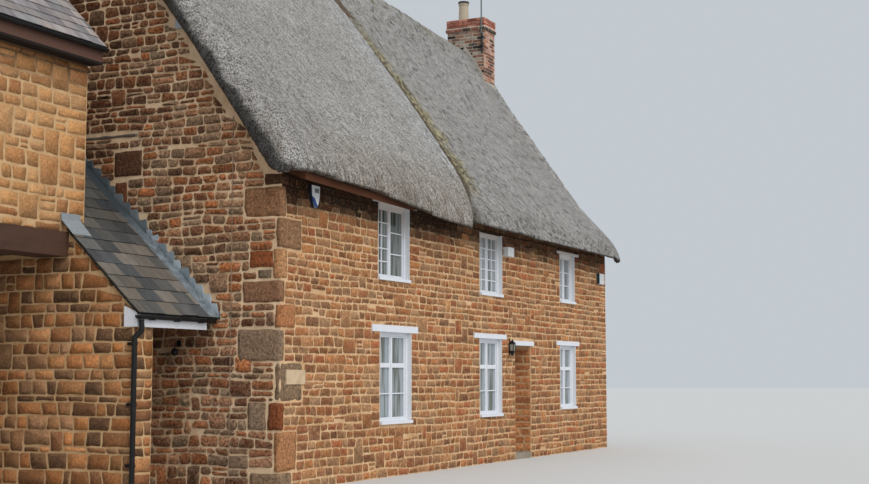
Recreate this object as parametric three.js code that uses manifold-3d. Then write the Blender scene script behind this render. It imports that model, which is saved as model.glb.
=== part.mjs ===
// A stone cottage under a thatched roof, with a slate-roofed porch link and a slate-roofed wing beside it.
// Millimetres, +Z up. While it is drawn, X runs along the front wall from the near gable, Y runs into
// the house from the front face, and Z is height above the ground. At the end the whole house is moved
// so that its origin is the bottom centre of its box.

import * as THREE from 'three';
import { mergeVertices } from 'three/addons/utils/BufferGeometryUtils.js';
import Module from 'manifold-3d';

const wasm = await Module();
wasm.setup();

// Clearance between neighbours that touch
const GAP = 0.3;
// How far pieces that become one solid reach into each other
const OVERLAP = 1;
// How far a cutter reaches past the face that it opens
const PAST_FACE = 10;
// Corners closer than this are one corner
const WELD = 1e-3;

// Cottage walls
const LENGTH = 14000;
const DEPTH = 6500;
const WALL = 500;
const RIDGE_Y = DEPTH / 2;
const PLATE_Z = 4620;
const UNDER_SLOPE = 1.3;
const FLOOR_TOP = 150;
const UPPER_FLOOR_Z = 2600;
const UPPER_FLOOR_THICK = 250;

// Front windows: left, right, bottom and top of each hole in the wall
const LOWER_WINDOWS = [[2970, 4080, 850, 2350], [6880, 7910, 870, 2340], [11030, 11970, 930, 2290]];
const UPPER_WINDOWS = [[2900, 4000, 3190, 4450], [6890, 7940, 3150, 4350], [11050, 11950, 3200, 4250]];
// White lintel boards: left, right, bottom and top
const LOWER_LINTELS = [[2690, 4300, 2350, 2460], [6610, 8120, 2340, 2430], [10830, 12180, 2290, 2380]];
const UPPER_LINTELS = [[2700, 4250, 4450, 4495], null, [10890, 12180, 4250, 4310]];
const LINTEL_PROUD = 22;
const LINTEL_DEPTH = 180;
const WINDOW_SET_BACK = 70;
const FRAME_DEPTH = 90;
const FRAME_WIDTH = 60;
const BOTTOM_RAIL = 30;
const MULLION_WIDTH = 44;
// How far the mullion is set back in the frame, and its clearance in front of the pane
const MULLION_IN = 8;
const MULLION_OFF_PANE = 4;
const SILL_HEIGHT = 50;
const SILL_PROUD = 45;
const PANE_SET_BACK = 118;
const PANE_THICK = 6;

// Back windows repeat the front ones
const BACK_LEFTS = [3000, 9900];
const BACK_WINDOW_WIDTH = 1050;
const BACK_LOWER_Z = [880, 2330];
const BACK_UPPER_Z = [3180, 4350];

// Doorway
const DOOR = [8580, 9390];
const DOOR_HEAD = 2240;
const DOOR_LINTEL = [8380, 9530, 2240, 2330];
const DOOR_SET_BACK = 400;
const DOOR_FRAME_DEPTH = 80;
const DOOR_FRAME_WIDTH = 55;
const DOOR_LEAF_IN = 20;
const DOOR_LEAF_THICK = 45;
const DOORSTEP_TOP = 120;

// Thatch: outer faces rise at 54 degrees, the newer near part stands proud of the older far part
const OUTER_SLOPE = 1.378;
const NEAR_BASE_Z = 5440;
const FAR_BASE_Z = 5130;
const EAVE_OUT = 500;
const EAVE_ROUND = 230;
const NEAR_TIP_X = -350;
const FAR_TIP_X = LENGTH + 350;
const NEAR_VERGE_ROUND = 600;
const FAR_VERGE_ROUND = 1150;
const VERGE_CORNER_IN = 400;
// How much lower the outer face is at the tip of a verge, at the eave, and the share lost going up
const NEAR_VERGE_DROP = [570, 0.09];
const FAR_VERGE_DROP = [330, 0];
// Within this distance of the tip the underside drops at the eave and turns up higher on the slope
const VERGE_LIFT = 180;
const TIP_DROP = 70;
const TIP_RISE = 0.16;
const LEAST_THATCH = 60;
// The far part's ridge sinks between these, from above the plain slope to below it, and the slope sags more
const SINK_X = [9000, 13600];
const NEAR_LIFT = [0, 0];
const FAR_LIFT = [140, -140];
const NEAR_SAG = [40, 40];
const FAR_SAG = [245, 355];
const SAG_SHAPE = 1.5;
const RIDGE_ROLL = 70;
const RIDGE_ROLL_HALF = 420;
const RIDGE_CROWN = 60;
// Bottom edge of the eave: [X, Z] at the near end, where the two parts meet, and at the far end
const EAVE_EDGE = [[0, 4530], [5600, 4330], [12500, 4270]];
// Where the two parts meet: X at the eave, halfway up and at the ridge
const SEAM_X = [5560, 5935, 5270];
// The board under the near eave: its ends, and its thickness at the wall, along its edge and at its far end
const EAVE_BOARD = [20, 3750];
const EAVE_BOARD_IN = 110;
const EAVE_BOARD_GAP = 10;
const EAVE_BOARD_AT_WALL = 25;
const EAVE_BOARD_AT_EDGE = 110;
const EAVE_BOARD_AT_END = 45;
const EAVE_BOARD_STEPS = 8;

// Chimney on the far gable
const STACK = [13300, 13930, 2765, 3735];
const STACK_BASE_Z = 8000;
const STACK_TOP_Z = 10300;
const BAND = [10000, 10085];
const BAND_PROUD = 40;
const FLUE = 230;
const FLUE_DEPTH = 1400;
const POT_CENTRE = [13620, 3450];
// The pot as [radius, height]: up its outside, over its bead and collar, and down its flue
const POT_PROFILE = [
  [88, 0], [130, 0], [112, 425], [126, 430], [126, 450], [118, 455], [118, 470],
  [136, 475], [136, 520], [88, 520], [88, 0],
];
const MAST_RADIUS = 17;
const MAST = [STACK[0] - BAND_PROUD - MAST_RADIUS - GAP, 2805, 9900, 10950];
// Straps: heights above the foot of the mast, and half their width
const MAST_STRAPS = [30, 330];
const MAST_STRAP_HALF = 12;
const MAST_STRAP_HEIGHT = 25;

// Porch link between the cottage and the wing
const LINK_EAVE_Y = 1040;
const LINK_EAVE_Z = 2480;
const LINK_SLOPE = 0.95;
const LINK_RIDGE_Y = 3850;
const LINK_THICK = 150;
// Over the side wall the link's slope is only its slates and boards
const VERGE_THICK = 35;
const SLATE_LIP = 25;
const VERGE_OUT = 50;
const SIDE_WALL_FRONT_Y = 1150;
// Front, back and bottom of the white board behind the gutter, and where it ends on the right
const FASCIA = [1070, 1098, 2290];
const FASCIA_RIGHT_X = -290;
// Its return along the side wall ends at this distance and height
const FASCIA_END = [1290, 2573];
const GUTTER_RADIUS = 52;
const GUTTER_WALL = 5;
const GUTTER_DROP = 12;
const GUTTER_PAST = 30;
const GUTTER_RIGHT_X = -200;
const PIPE_RADIUS = 37;
const PIPE = [-1895, 1092];
const PIPE_TOP = 2120;
// Bottoms of the clips that hold the pipe, and their sizes
const PIPE_CLIPS = [420, 1230, 2040];
const CLIP_HEIGHT = 40;
const CLIP_THICK = 8;
const CLIP_ARM_HALF = 12;
const CLIP_LUG = [1170, 1215];
// The pipe's neck leans to the right on its way up to the gutter
const NECK_LEAN = 42;
const NECK_BEND = 30;
const NECK_OFF_GUTTER = 4;
const LEAD_UP = 85;
const LEAD_ON_ROOF = 280;
const LEAD_THICK = 5;
const LEAD_LIFT = 2;

// Wing
const WING_RIGHT_X = -1430;
const WING_WALL = 420;
const WING_LEFT_X = -6000;
const WING_FRONT_Y = 2400;
const WING_DEPTH = 4800;
const WING_EAVE_Y = 2140;
const WING_EAVE_Z = 6330;
const WING_SLOPE = 1.06;
const WING_ROOF_THICK = 190;
const WING_GABLE_OUT = 60;
// Distances in from the slates' lower edge: the brown board's face and the thick part of the slope
const WING_FASCIA_IN = 40;
const WING_SLAB_IN = 75;
const WING_FASCIA_BOTTOM = 6065;
const WING_SOFFIT_THICK = 30;
const WING_GUTTER_PAST = 20;
const WING_FLOOR_THICK = 280;
const BEAM = [3280, 3620];
const BEAM_PROUD = 100;

// Small fittings on the front wall: left, right, bottom, top and how far they stand out
const NEAR_ALARM = [740, 970, 4130, 4460, 70];
const FAR_ALARM = [13400, 13720, 3740, 3980, 80];
const VENT_BOX = [8010, 8300, 3960, 4140, 110];
const PLAQUE = [140, 650, 1510, 1720, 22];
// The lantern by the door: its axis, bottom and top, then its body as [radius, share of the height]
const LANTERN = [8285, -105, 2060, 2330];
const LANTERN_BODY = [
  [0, 0], [28, 0], [36, 0.074], [54, 0.66], [66, 0.68], [30, 0.88], [14, 1], [0, 1],
];
const LANTERN_SIDES = 6;
const LANTERN_ARM = { half: 9, below: 12, above: 8 };
const LANTERN_PLATE = { half: 30, thick: 24, below: 30, above: 40 };
// The lamp in the covered way: centre of its ball, then its radius, its rod and its plate on the wall
const LAMP = [-115, 1760, 1980];
const LAMP_RADIUS = 55;
const LAMP_ROD = 8;
const LAMP_ROD_UP = 128;
const LAMP_PLATE = { thick: 22, half: 35, reach: 45 };

const COLOURS = {
  stone: [0x9c6a43, 0.9, 0],
  darkStone: [0x7a4f36, 0.92, 0],
  wingStone: [0xb07c4c, 0.9, 0],
  thatch: [0x77736c, 1, 0],
  brick: [0xa5533a, 0.85, 0],
  clay: [0xd8c9ae, 0.7, 0],
  whitePaint: [0xe9e8e3, 0.45, 0],
  glass: [0x55616a, 0.1, 0],
  slate: [0x5c6067, 0.6, 0],
  lead: [0x97a0a8, 0.5, 0.6],
  blackMetal: [0x17181a, 0.4, 0.3],
  brownWood: [0x3c2620, 0.7, 0],
  floorWood: [0x7d6248, 0.8, 0],
  plainWood: [0x6a5137, 0.8, 0],
  whitePlastic: [0xe4e5e6, 0.4, 0],
  paleStone: [0xc9a578, 0.85, 0],
  steel: [0x8c9094, 0.4, 0.8],
};

const house = new THREE.Group();

// Adds one named sub-part
function add(name, geometry, colour) {
  const [color, roughness, metalness] = COLOURS[colour];
  const material = new THREE.MeshStandardMaterial({ color, roughness, metalness });
  const mesh = new THREE.Mesh(geometry, material);
  mesh.name = name;
  house.add(mesh);
}

function toSolid(geometry) {
  const bare = geometry.clone();
  bare.deleteAttribute('normal');
  bare.deleteAttribute('uv');
  const merged = mergeVertices(bare, WELD);
  const mesh = new wasm.Mesh({
    numProp: 3,
    vertProperties: new Float32Array(merged.attributes.position.array),
    triVerts: new Uint32Array(merged.index.array),
  });
  return new wasm.Manifold(mesh);
}

function fromSolid(solid) {
  const mesh = solid.getMesh();
  const geometry = new THREE.BufferGeometry();
  geometry.setAttribute('position', new THREE.BufferAttribute(new Float32Array(mesh.vertProperties), 3));
  geometry.setIndex(new THREE.BufferAttribute(new Uint32Array(mesh.triVerts), 1));
  geometry.computeVertexNormals();
  return geometry;
}

function join(...pieces) {
  return fromSolid(pieces.map(toSolid).reduce((whole, piece) => whole.add(piece)));
}

function cut(whole, ...holes) {
  return fromSolid(holes.map(toSolid).reduce((rest, hole) => rest.subtract(hole), toSolid(whole)));
}

// A block between two corners
function block(x0, x1, y0, y1, z0, z1) {
  const geometry = new THREE.BoxGeometry(x1 - x0, y1 - y0, z1 - z0);
  geometry.translate((x0 + x1) / 2, (y0 + y1) / 2, (z0 + z1) / 2);
  return geometry;
}

// A block grown by the clearance on every side, used as a cutter
function pocket(x0, x1, y0, y1, z0, z1) {
  return block(x0 - GAP, x1 + GAP, y0 - GAP, y1 + GAP, z0 - GAP, z1 + GAP);
}

function shapeOf(points) {
  return new THREE.Shape(points.map(([a, b]) => new THREE.Vector2(a, b)));
}

const ALONG_X = new THREE.Matrix4().makeBasis(
  new THREE.Vector3(0, 1, 0),
  new THREE.Vector3(0, 0, 1),
  new THREE.Vector3(1, 0, 0),
);

// A slab whose outline is given as [Y, Z] points, drawn out along X
function prismX(points, x0, x1) {
  const geometry = new THREE.ExtrudeGeometry(shapeOf(points), { depth: x1 - x0, bevelEnabled: false });
  geometry.applyMatrix4(ALONG_X);
  geometry.translate(x0, 0, 0);
  return geometry;
}

// An upright round bar or pipe
function upright(x, y, z0, z1, radius, sides = 16) {
  const geometry = new THREE.CylinderGeometry(radius, radius, z1 - z0, sides);
  geometry.rotateX(Math.PI / 2);
  geometry.translate(x, y, (z0 + z1) / 2);
  return geometry;
}

// A turned piece on an upright axis, from [radius, height] points
function turned(profile, x, y, z, sides = 20) {
  const points = profile.map(([r, h]) => new THREE.Vector2(r, h));
  const geometry = new THREE.LatheGeometry(points, sides);
  geometry.rotateX(Math.PI / 2);
  geometry.translate(x, y, z);
  return geometry;
}

// A closed shell between an upper and a lower grid of points with the same rows and columns
function shell(upper, lower) {
  const rows = upper.length;
  const cols = upper[0].length;
  const positions = [...upper.flat(2), ...lower.flat(2)];
  const top = (i, j) => i * cols + j;
  const low = (i, j) => rows * cols + i * cols + j;
  const index = [];
  const quad = (a, b, c, d) => index.push(a, b, c, a, c, d);
  for (let i = 0; i < rows - 1; i += 1) {
    for (let j = 0; j < cols - 1; j += 1) {
      quad(top(i, j), top(i + 1, j), top(i + 1, j + 1), top(i, j + 1));
      quad(low(i, j), low(i, j + 1), low(i + 1, j + 1), low(i + 1, j));
    }
    quad(top(i, 0), low(i, 0), low(i + 1, 0), top(i + 1, 0));
    quad(top(i + 1, cols - 1), low(i + 1, cols - 1), low(i, cols - 1), top(i, cols - 1));
  }
  for (let j = 0; j < cols - 1; j += 1) {
    quad(top(0, j + 1), low(0, j + 1), low(0, j), top(0, j));
    quad(top(rows - 1, j), low(rows - 1, j), low(rows - 1, j + 1), top(rows - 1, j + 1));
  }
  const geometry = new THREE.BufferGeometry();
  geometry.setAttribute('position', new THREE.Float32BufferAttribute(positions, 3));
  geometry.setIndex(index);
  geometry.computeVertexNormals();
  return geometry;
}

const lerp = THREE.MathUtils.lerp;
const clamp = THREE.MathUtils.clamp;

// Cottage walls

// The front and back walls rise to meet the sloping underside of the thatch
function longWallOutline(outerY, innerY) {
  const innerTop = PLATE_Z + UNDER_SLOPE * WALL - GAP;
  return [[outerY, 0], [innerY, 0], [innerY, innerTop], [outerY, PLATE_Z - GAP]];
}

function windowHoles(windows, y0, y1) {
  return windows.map(([x0, x1, z0, z1]) => block(x0, x1, y0, y1, z0, z1));
}

function lintelPockets(lintels) {
  return lintels
    .filter(Boolean)
    .map(([x0, x1, z0, z1]) => pocket(x0, x1, -LINTEL_PROUD, LINTEL_DEPTH, z0, z1));
}

function frontWalls() {
  const outline = longWallOutline(0, WALL);
  const holes = [
    ...windowHoles([...LOWER_WINDOWS, ...UPPER_WINDOWS], -PAST_FACE, WALL + PAST_FACE),
    ...lintelPockets([...LOWER_LINTELS, ...UPPER_LINTELS]),
    pocket(DOOR_LINTEL[0], DOOR_LINTEL[1], -LINTEL_PROUD, WALL + PAST_FACE, DOOR_LINTEL[2], DOOR_LINTEL[3]),
  ];
  add('front_wall_left', cut(prismX(outline, 0, DOOR[0]), ...holes), 'stone');
  add('front_wall_right', cut(prismX(outline, DOOR[1], LENGTH), ...holes), 'stone');
  const overDoor = [...outline.slice(2), [0, DOOR_LINTEL[3] + GAP], [WALL, DOOR_LINTEL[3] + GAP]];
  add('front_wall_over_door', prismX(overDoor, DOOR[0] + GAP, DOOR[1] - GAP), 'stone');
}

function backWindows(heights) {
  return BACK_LEFTS.map((left) => [left, left + BACK_WINDOW_WIDTH, ...heights]);
}

function backWall() {
  const outline = longWallOutline(DEPTH, DEPTH - WALL).reverse();
  const windows = [...backWindows(BACK_LOWER_Z), ...backWindows(BACK_UPPER_Z)];
  const holes = windowHoles(windows, DEPTH - WALL - PAST_FACE, DEPTH + PAST_FACE);
  add('back_wall', cut(prismX(outline, 0, LENGTH), ...holes), 'stone');
}

// The underside of the thatch, as a height at a distance from the front or back face
function underside(y) {
  const fromFace = RIDGE_Y - Math.abs(y - RIDGE_Y);
  return PLATE_Z + UNDER_SLOPE * fromFace;
}

function gableOutline() {
  const inner = WALL + GAP;
  const outer = DEPTH - WALL - GAP;
  return [
    [inner, 0],
    [outer, 0],
    [outer, underside(outer) - GAP],
    [RIDGE_Y, underside(RIDGE_Y) - GAP],
    [inner, underside(inner) - GAP],
  ];
}

function gables() {
  add('near_gable_wall', prismX(gableOutline(), 0, WALL), 'darkStone');
  const [x0, x1, y0, y1] = STACK;
  const seat = pocket(x0, x1, y0, y1, STACK_BASE_Z, STACK_TOP_Z);
  add('far_gable_wall', cut(prismX(gableOutline(), LENGTH - WALL, LENGTH), seat), 'darkStone');
}

function floors() {
  const x0 = WALL + GAP;
  const x1 = LENGTH - WALL - GAP;
  const y0 = WALL + GAP;
  const y1 = DEPTH - WALL - GAP;
  add('ground_floor', block(x0, x1, y0, y1, 0, FLOOR_TOP), 'paleStone');
  const upperTop = UPPER_FLOOR_Z + UPPER_FLOOR_THICK;
  add('first_floor', block(x0, x1, y0, y1, UPPER_FLOOR_Z, upperTop), 'floorWood');
}

// Thatch

// How far along X the two parts of the thatch meet, at a distance y from the front face
function seamX(y) {
  const t = clamp((y + EAVE_OUT) / (RIDGE_Y + EAVE_OUT), 0, 1);
  const [eave, middle, ridge] = SEAM_X;
  return (1 - t) ** 2 * eave + 2 * t * (1 - t) * (2 * middle - (eave + ridge) / 2) + t ** 2 * ridge;
}

// The eave's bottom edge drops along the near part and runs nearly level along the far part
function eaveBottom(x) {
  const [near, middle, far] = EAVE_EDGE;
  const [from, to] = x < middle[0] ? [near, middle] : [middle, far];
  return lerp(from[1], to[1], clamp((x - from[0]) / (to[0] - from[0]), 0, 1));
}

// 0 further than a reach from the tip of a verge, 1 at the tip
function towardsTip(x, part, reach) {
  const distance = Math.min(x - part.nearTip, part.farTip - x);
  return clamp(1 - distance / reach, 0, 1);
}

function quarterRound(t) {
  return 1 - Math.sqrt(Math.max(0, 1 - t * t));
}

// Lines that the thatch is drawn through: shares of the way from eave to wall face, then up the slope
const EAVE_LINES = [0, 0.12, 0.3, 0.55, 1];
const SLOPE_LINES = 8;

// Distances of those lines from the front face, for an eave that ends at eaveY
function crossLines(eaveY) {
  const lines = EAVE_LINES.map((share) => eaveY * (1 - share));
  const last = RIDGE_Y - RIDGE_ROLL_HALF;
  for (let i = 1; i <= SLOPE_LINES; i += 1) {
    lines.push(lerp(0, last, i / SLOPE_LINES));
  }
  lines.push(RIDGE_Y - RIDGE_ROLL_HALF / 2, RIDGE_Y);
  return lines;
}

// The underside turns up a little towards the tip of a verge, more so higher up
function underThatch(x, y, eaveY, part) {
  const lift = (TIP_RISE * Math.max(y, 0) - TIP_DROP) * towardsTip(x, part, VERGE_LIFT);
  if (y >= 0) {
    return PLATE_Z + UNDER_SLOPE * y + lift;
  }
  return lerp(PLATE_Z, eaveBottom(x), y / eaveY) + lift;
}

function outerThatch(x, y, eaveY, part) {
  const [dropAtEave, dropLost] = part.drop;
  const fullDrop = dropAtEave - dropLost * Math.max(y, 0);
  const drop = fullDrop * quarterRound(towardsTip(x, part, part.round));
  const up = clamp((y - eaveY) / (RIDGE_Y - eaveY), 0, 1);
  const along = clamp((x - SINK_X[0]) / (SINK_X[1] - SINK_X[0]), 0, 1);
  const sag = lerp(...part.sag, along) * Math.sin(Math.PI * up) ** SAG_SHAPE;
  const lift = lerp(...part.lift, along) * up;
  const roll = RIDGE_ROLL * Math.sqrt(clamp(1 - (RIDGE_Y - y) / RIDGE_ROLL_HALF, 0, 1));
  const crown = RIDGE_CROWN * clamp(1 - (RIDGE_Y - y) / (RIDGE_ROLL_HALF / 2), 0, 1);
  const eaveRound = EAVE_ROUND * quarterRound(clamp(1 - (y - eaveY) / EAVE_ROUND, 0, 1));
  return part.base + OUTER_SLOPE * y + lift - drop - sag + roll - crown - eaveRound;
}

// One part of the thatch, between two ends that are given as X for each line across the roof
function thatchPart(part, stations) {
  const upper = [];
  const lower = [];
  for (const t of stations) {
    const topRow = [];
    const lowRow = [];
    const place = (line, side) => {
      const plain = crossLines(-EAVE_OUT)[line];
      const x = lerp(part.start(plain), part.end(plain), t);
      const eaveY = -EAVE_OUT + VERGE_CORNER_IN * quarterRound(towardsTip(x, part, part.round));
      const y = crossLines(eaveY)[line];
      const low = underThatch(x, y, eaveY, part);
      const high = Math.max(outerThatch(x, y, eaveY, part), low + LEAST_THATCH);
      const across = side < 0 ? y : DEPTH - y;
      topRow.push([x, across, high]);
      lowRow.push([x, across, low]);
    };
    const count = crossLines(-EAVE_OUT).length;
    for (let line = 0; line < count; line += 1) {
      place(line, -1);
    }
    for (let line = count - 2; line >= 0; line -= 1) {
      place(line, 1);
    }
    upper.push(topRow);
    lower.push(lowRow);
  }
  return shell(upper, lower);
}

const NEAR_STATIONS = [0, 0.012, 0.03, 0.06, 0.1, 0.2, 0.36, 0.52, 0.68, 0.84, 0.94, 1];
const FAR_STATIONS = [0, 0.06, 0.2, 0.35, 0.5, 0.65, 0.78, 0.86, 0.905, 0.94, 0.965, 0.978, 0.991, 1];

const NEAR_THATCH = {
  base: NEAR_BASE_Z,
  lift: NEAR_LIFT,
  sag: NEAR_SAG,
  drop: NEAR_VERGE_DROP,
  round: NEAR_VERGE_ROUND,
  nearTip: NEAR_TIP_X,
  farTip: Infinity,
  start: () => NEAR_TIP_X,
  end: (y) => seamX(y) - GAP,
};

const FAR_THATCH = {
  base: FAR_BASE_Z,
  lift: FAR_LIFT,
  sag: FAR_SAG,
  drop: FAR_VERGE_DROP,
  round: FAR_VERGE_ROUND,
  nearTip: -Infinity,
  farTip: FAR_TIP_X,
  start: (y) => seamX(y),
  end: () => FAR_TIP_X,
};

function thatch() {
  add('thatch_near', thatchPart(NEAR_THATCH, NEAR_STATIONS), 'thatch');
  const [x0, x1, y0, y1] = STACK;
  const hole = pocket(x0, x1, y0, y1, STACK_BASE_Z, STACK_TOP_Z);
  add('thatch_far', cut(thatchPart(FAR_THATCH, FAR_STATIONS), hole), 'thatch');
}

// The brown board under the near eave follows the thatch and hangs lower at its outer edge
function eaveBoard() {
  const [x0, x1] = EAVE_BOARD;
  const outerY = EAVE_BOARD_IN - EAVE_OUT;
  const upper = [];
  const lower = [];
  for (let i = 0; i <= EAVE_BOARD_STEPS; i += 1) {
    const x = lerp(x0, x1, i / EAVE_BOARD_STEPS);
    const atEdge = i < EAVE_BOARD_STEPS ? EAVE_BOARD_AT_EDGE : EAVE_BOARD_AT_END;
    const height = (y) => underThatch(x, y, -EAVE_OUT, NEAR_THATCH) - EAVE_BOARD_GAP;
    upper.push([[x, outerY, height(outerY)], [x, -GAP, height(-GAP)]]);
    lower.push([[x, outerY, height(outerY) - atEdge], [x, -GAP, height(-GAP) - EAVE_BOARD_AT_WALL]]);
  }
  add('eave_board', shell(upper, lower), 'brownWood');
}

// Chimney

function chimney() {
  const [x0, x1, y0, y1] = STACK;
  const band = block(x0 - BAND_PROUD, x1 + BAND_PROUD, y0 - BAND_PROUD, y1 + BAND_PROUD, ...BAND);
  const [px, py] = POT_CENTRE;
  const half = FLUE / 2;
  const flueBottom = STACK_TOP_Z - FLUE_DEPTH;
  const flue = block(px - half, px + half, py - half, py + half, flueBottom, STACK_TOP_Z + PAST_FACE);
  const body = join(block(x0, x1, y0, y1, STACK_BASE_Z, STACK_TOP_Z), band);
  add('chimney_stack', cut(body, flue), 'brick');
  add('chimney_pot', turned(POT_PROFILE, px, py, STACK_TOP_Z + GAP), 'clay');

  const [mx, my, m0, m1] = MAST;
  const near = my - MAST_STRAP_HALF;
  const far = my + MAST_STRAP_HALF;
  const strap = (foot) => block(mx, x0 - GAP, near, far, foot, foot + MAST_STRAP_HEIGHT);
  const straps = MAST_STRAPS.map((up) => strap(m0 + up));
  add('aerial_mast', join(upright(mx, my, m0, m1, MAST_RADIUS, 12), ...straps), 'steel');
}

// Windows and door

function windowFrame([x0, x1, z0, z1], lintel, faceY, outward) {
  const left = x0 + GAP;
  const right = x1 - GAP;
  const bottom = z0 + GAP;
  const top = z1 - GAP;
  const joined = lintel ? z1 + OVERLAP : top;
  const at = (depth) => faceY - outward * depth;
  const span = (a, b) => [Math.min(at(a), at(b)), Math.max(at(a), at(b))];
  const outer = block(left, right, ...span(WINDOW_SET_BACK, WINDOW_SET_BACK + FRAME_DEPTH), bottom, joined);
  const sillTop = bottom + SILL_HEIGHT;
  const hole = block(
    left + FRAME_WIDTH,
    right - FRAME_WIDTH,
    ...span(0, WALL),
    sillTop + BOTTOM_RAIL,
    top - FRAME_WIDTH,
  );
  const middle = (left + right) / 2;
  const mullion = block(
    middle - MULLION_WIDTH / 2,
    middle + MULLION_WIDTH / 2,
    ...span(WINDOW_SET_BACK + MULLION_IN, PANE_SET_BACK - MULLION_OFF_PANE),
    sillTop,
    top - FRAME_WIDTH + OVERLAP,
  );
  const sill = block(left, right, ...span(-SILL_PROUD, WINDOW_SET_BACK + FRAME_DEPTH), bottom, sillTop);
  const pieces = [cut(outer, hole), mullion, sill];
  if (lintel) {
    const [lx0, lx1, lz0, lz1] = lintel;
    pieces.push(block(lx0, lx1, ...span(-LINTEL_PROUD, LINTEL_DEPTH), lz0, lz1));
  }
  return join(...pieces);
}

function windowPane([x0, x1, z0, z1], faceY, outward) {
  const near = faceY - outward * PANE_SET_BACK;
  const far = near - outward * PANE_THICK;
  return block(
    x0 + GAP + FRAME_WIDTH + GAP,
    x1 - GAP - FRAME_WIDTH - GAP,
    Math.min(near, far),
    Math.max(near, far),
    z0 + GAP + SILL_HEIGHT + BOTTOM_RAIL + GAP,
    z1 - GAP - FRAME_WIDTH - GAP,
  );
}

function frontWindows() {
  const rows = [['lower', LOWER_WINDOWS, LOWER_LINTELS], ['upper', UPPER_WINDOWS, UPPER_LINTELS]];
  for (const [row, windows, lintels] of rows) {
    windows.forEach((hole, i) => {
      add(`window_${row}_${i + 1}`, windowFrame(hole, lintels[i], 0, -1), 'whitePaint');
      add(`glass_${row}_${i + 1}`, windowPane(hole, 0, -1), 'glass');
    });
  }
}

function backWindowPieces() {
  for (const [row, heights] of [['lower', BACK_LOWER_Z], ['upper', BACK_UPPER_Z]]) {
    backWindows(heights).forEach((hole, i) => {
      add(`back_window_${row}_${i + 1}`, windowFrame(hole, null, DEPTH, 1), 'whitePaint');
      add(`back_glass_${row}_${i + 1}`, windowPane(hole, DEPTH, 1), 'glass');
    });
  }
}

function door() {
  const y0 = DOOR_SET_BACK;
  const y1 = DOOR_SET_BACK + DOOR_FRAME_DEPTH;
  const left = DOOR[0] + GAP;
  const right = DOOR[1] - GAP;
  const bottom = DOORSTEP_TOP;
  const head = DOOR_HEAD - GAP;
  const ring = cut(
    block(left, right, y0, y1, bottom, DOOR_HEAD + OVERLAP),
    block(left + DOOR_FRAME_WIDTH, right - DOOR_FRAME_WIDTH, 0, WALL, 0, head - DOOR_FRAME_WIDTH),
  );
  const [lx0, lx1, lz0, lz1] = DOOR_LINTEL;
  const lintel = block(lx0, lx1, -LINTEL_PROUD, WALL, lz0, lz1);
  add('door_frame', join(ring, lintel), 'whitePaint');
  add('door_leaf', block(
    left + DOOR_FRAME_WIDTH + GAP,
    right - DOOR_FRAME_WIDTH - GAP,
    y0 + DOOR_LEAF_IN,
    y0 + DOOR_LEAF_IN + DOOR_LEAF_THICK,
    bottom + GAP,
    head - DOOR_FRAME_WIDTH - GAP,
  ), 'plainWood');
  add('doorstep', block(left, right, 0, WALL, 0, bottom - GAP), 'paleStone');
}

// Small fittings on the front wall

function fitting(name, [x0, x1, z0, z1, out], colour) {
  add(name, block(x0, x1, -out, -GAP, z0, z1), colour);
}

function fittings() {
  fitting('alarm_box_near', NEAR_ALARM, 'whitePlastic');
  fitting('alarm_box_far', FAR_ALARM, 'whitePlastic');
  fitting('vent_box', VENT_BOX, 'whitePlastic');
  fitting('name_plaque', PLAQUE, 'paleStone');

  const [lx, ly, z0, z1] = LANTERN;
  const body = turned(LANTERN_BODY.map(([r, share]) => [r, share * (z1 - z0)]), lx, ly, z0, LANTERN_SIDES);
  const arm = LANTERN_ARM;
  const inPlate = -LANTERN_PLATE.thick / 2;
  const rod = block(lx - arm.half, lx + arm.half, ly, inPlate, z1 - arm.below, z1 + arm.above);
  const plate = block(
    lx - LANTERN_PLATE.half,
    lx + LANTERN_PLATE.half,
    -LANTERN_PLATE.thick,
    -GAP,
    z0 - LANTERN_PLATE.below,
    z1 + LANTERN_PLATE.above,
  );
  add('door_lantern', join(body, rod, plate), 'blackMetal');
}

// Porch link and wing

const linkTop = (y) => LINK_EAVE_Z + LINK_SLOPE * (y - LINK_EAVE_Y);
const wingTop = (y) => WING_EAVE_Z + WING_SLOPE * (y - WING_EAVE_Y);
const WING_BACK_Y = WING_FRONT_Y + WING_DEPTH;
const WING_RIDGE_Y = (WING_FRONT_Y + WING_BACK_Y) / 2;
const SIDE_WALL_X = WING_RIGHT_X - WING_WALL;

// Outline of one roof slope seen from the side: a thick slab with a thin slate edge over the fascia
function slopeOutline(top, thick, eaveY, slabY, ridgeY) {
  return [
    [eaveY, top(eaveY)],
    [eaveY, top(eaveY) - SLATE_LIP],
    [slabY, top(slabY) - SLATE_LIP],
    [slabY, top(slabY) - thick],
    [ridgeY, top(ridgeY) - thick],
    [ridgeY, top(ridgeY)],
  ];
}

function mirrored(points, aboutY) {
  return points.map(([y, z]) => [2 * aboutY - y, z]).reverse();
}

// The front slope of the link widens over the side wall, up to the wing's front face and its beam
function linkRoof() {
  const outline = (upperY, thick) => slopeOutline(linkTop, thick, LINK_EAVE_Y, FASCIA[1] + GAP, upperY);
  const x0 = WING_RIGHT_X + GAP;
  const whole = outline(LINK_RIDGE_Y - GAP, LINK_THICK);
  const overWall = outline(WING_FRONT_Y - GAP, VERGE_THICK);
  const verge = outline(WING_FRONT_Y - BEAM_PROUD - GAP, VERGE_THICK);
  const front = join(
    prismX(whole, x0, -GAP),
    prismX(overWall, SIDE_WALL_X, x0 + OVERLAP),
    prismX(verge, SIDE_WALL_X - VERGE_OUT, SIDE_WALL_X + OVERLAP),
  );
  add('link_roof_front', front, 'slate');
  add('link_roof_back', prismX(mirrored(whole, LINK_RIDGE_Y), x0, -GAP), 'slate');
}

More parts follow.
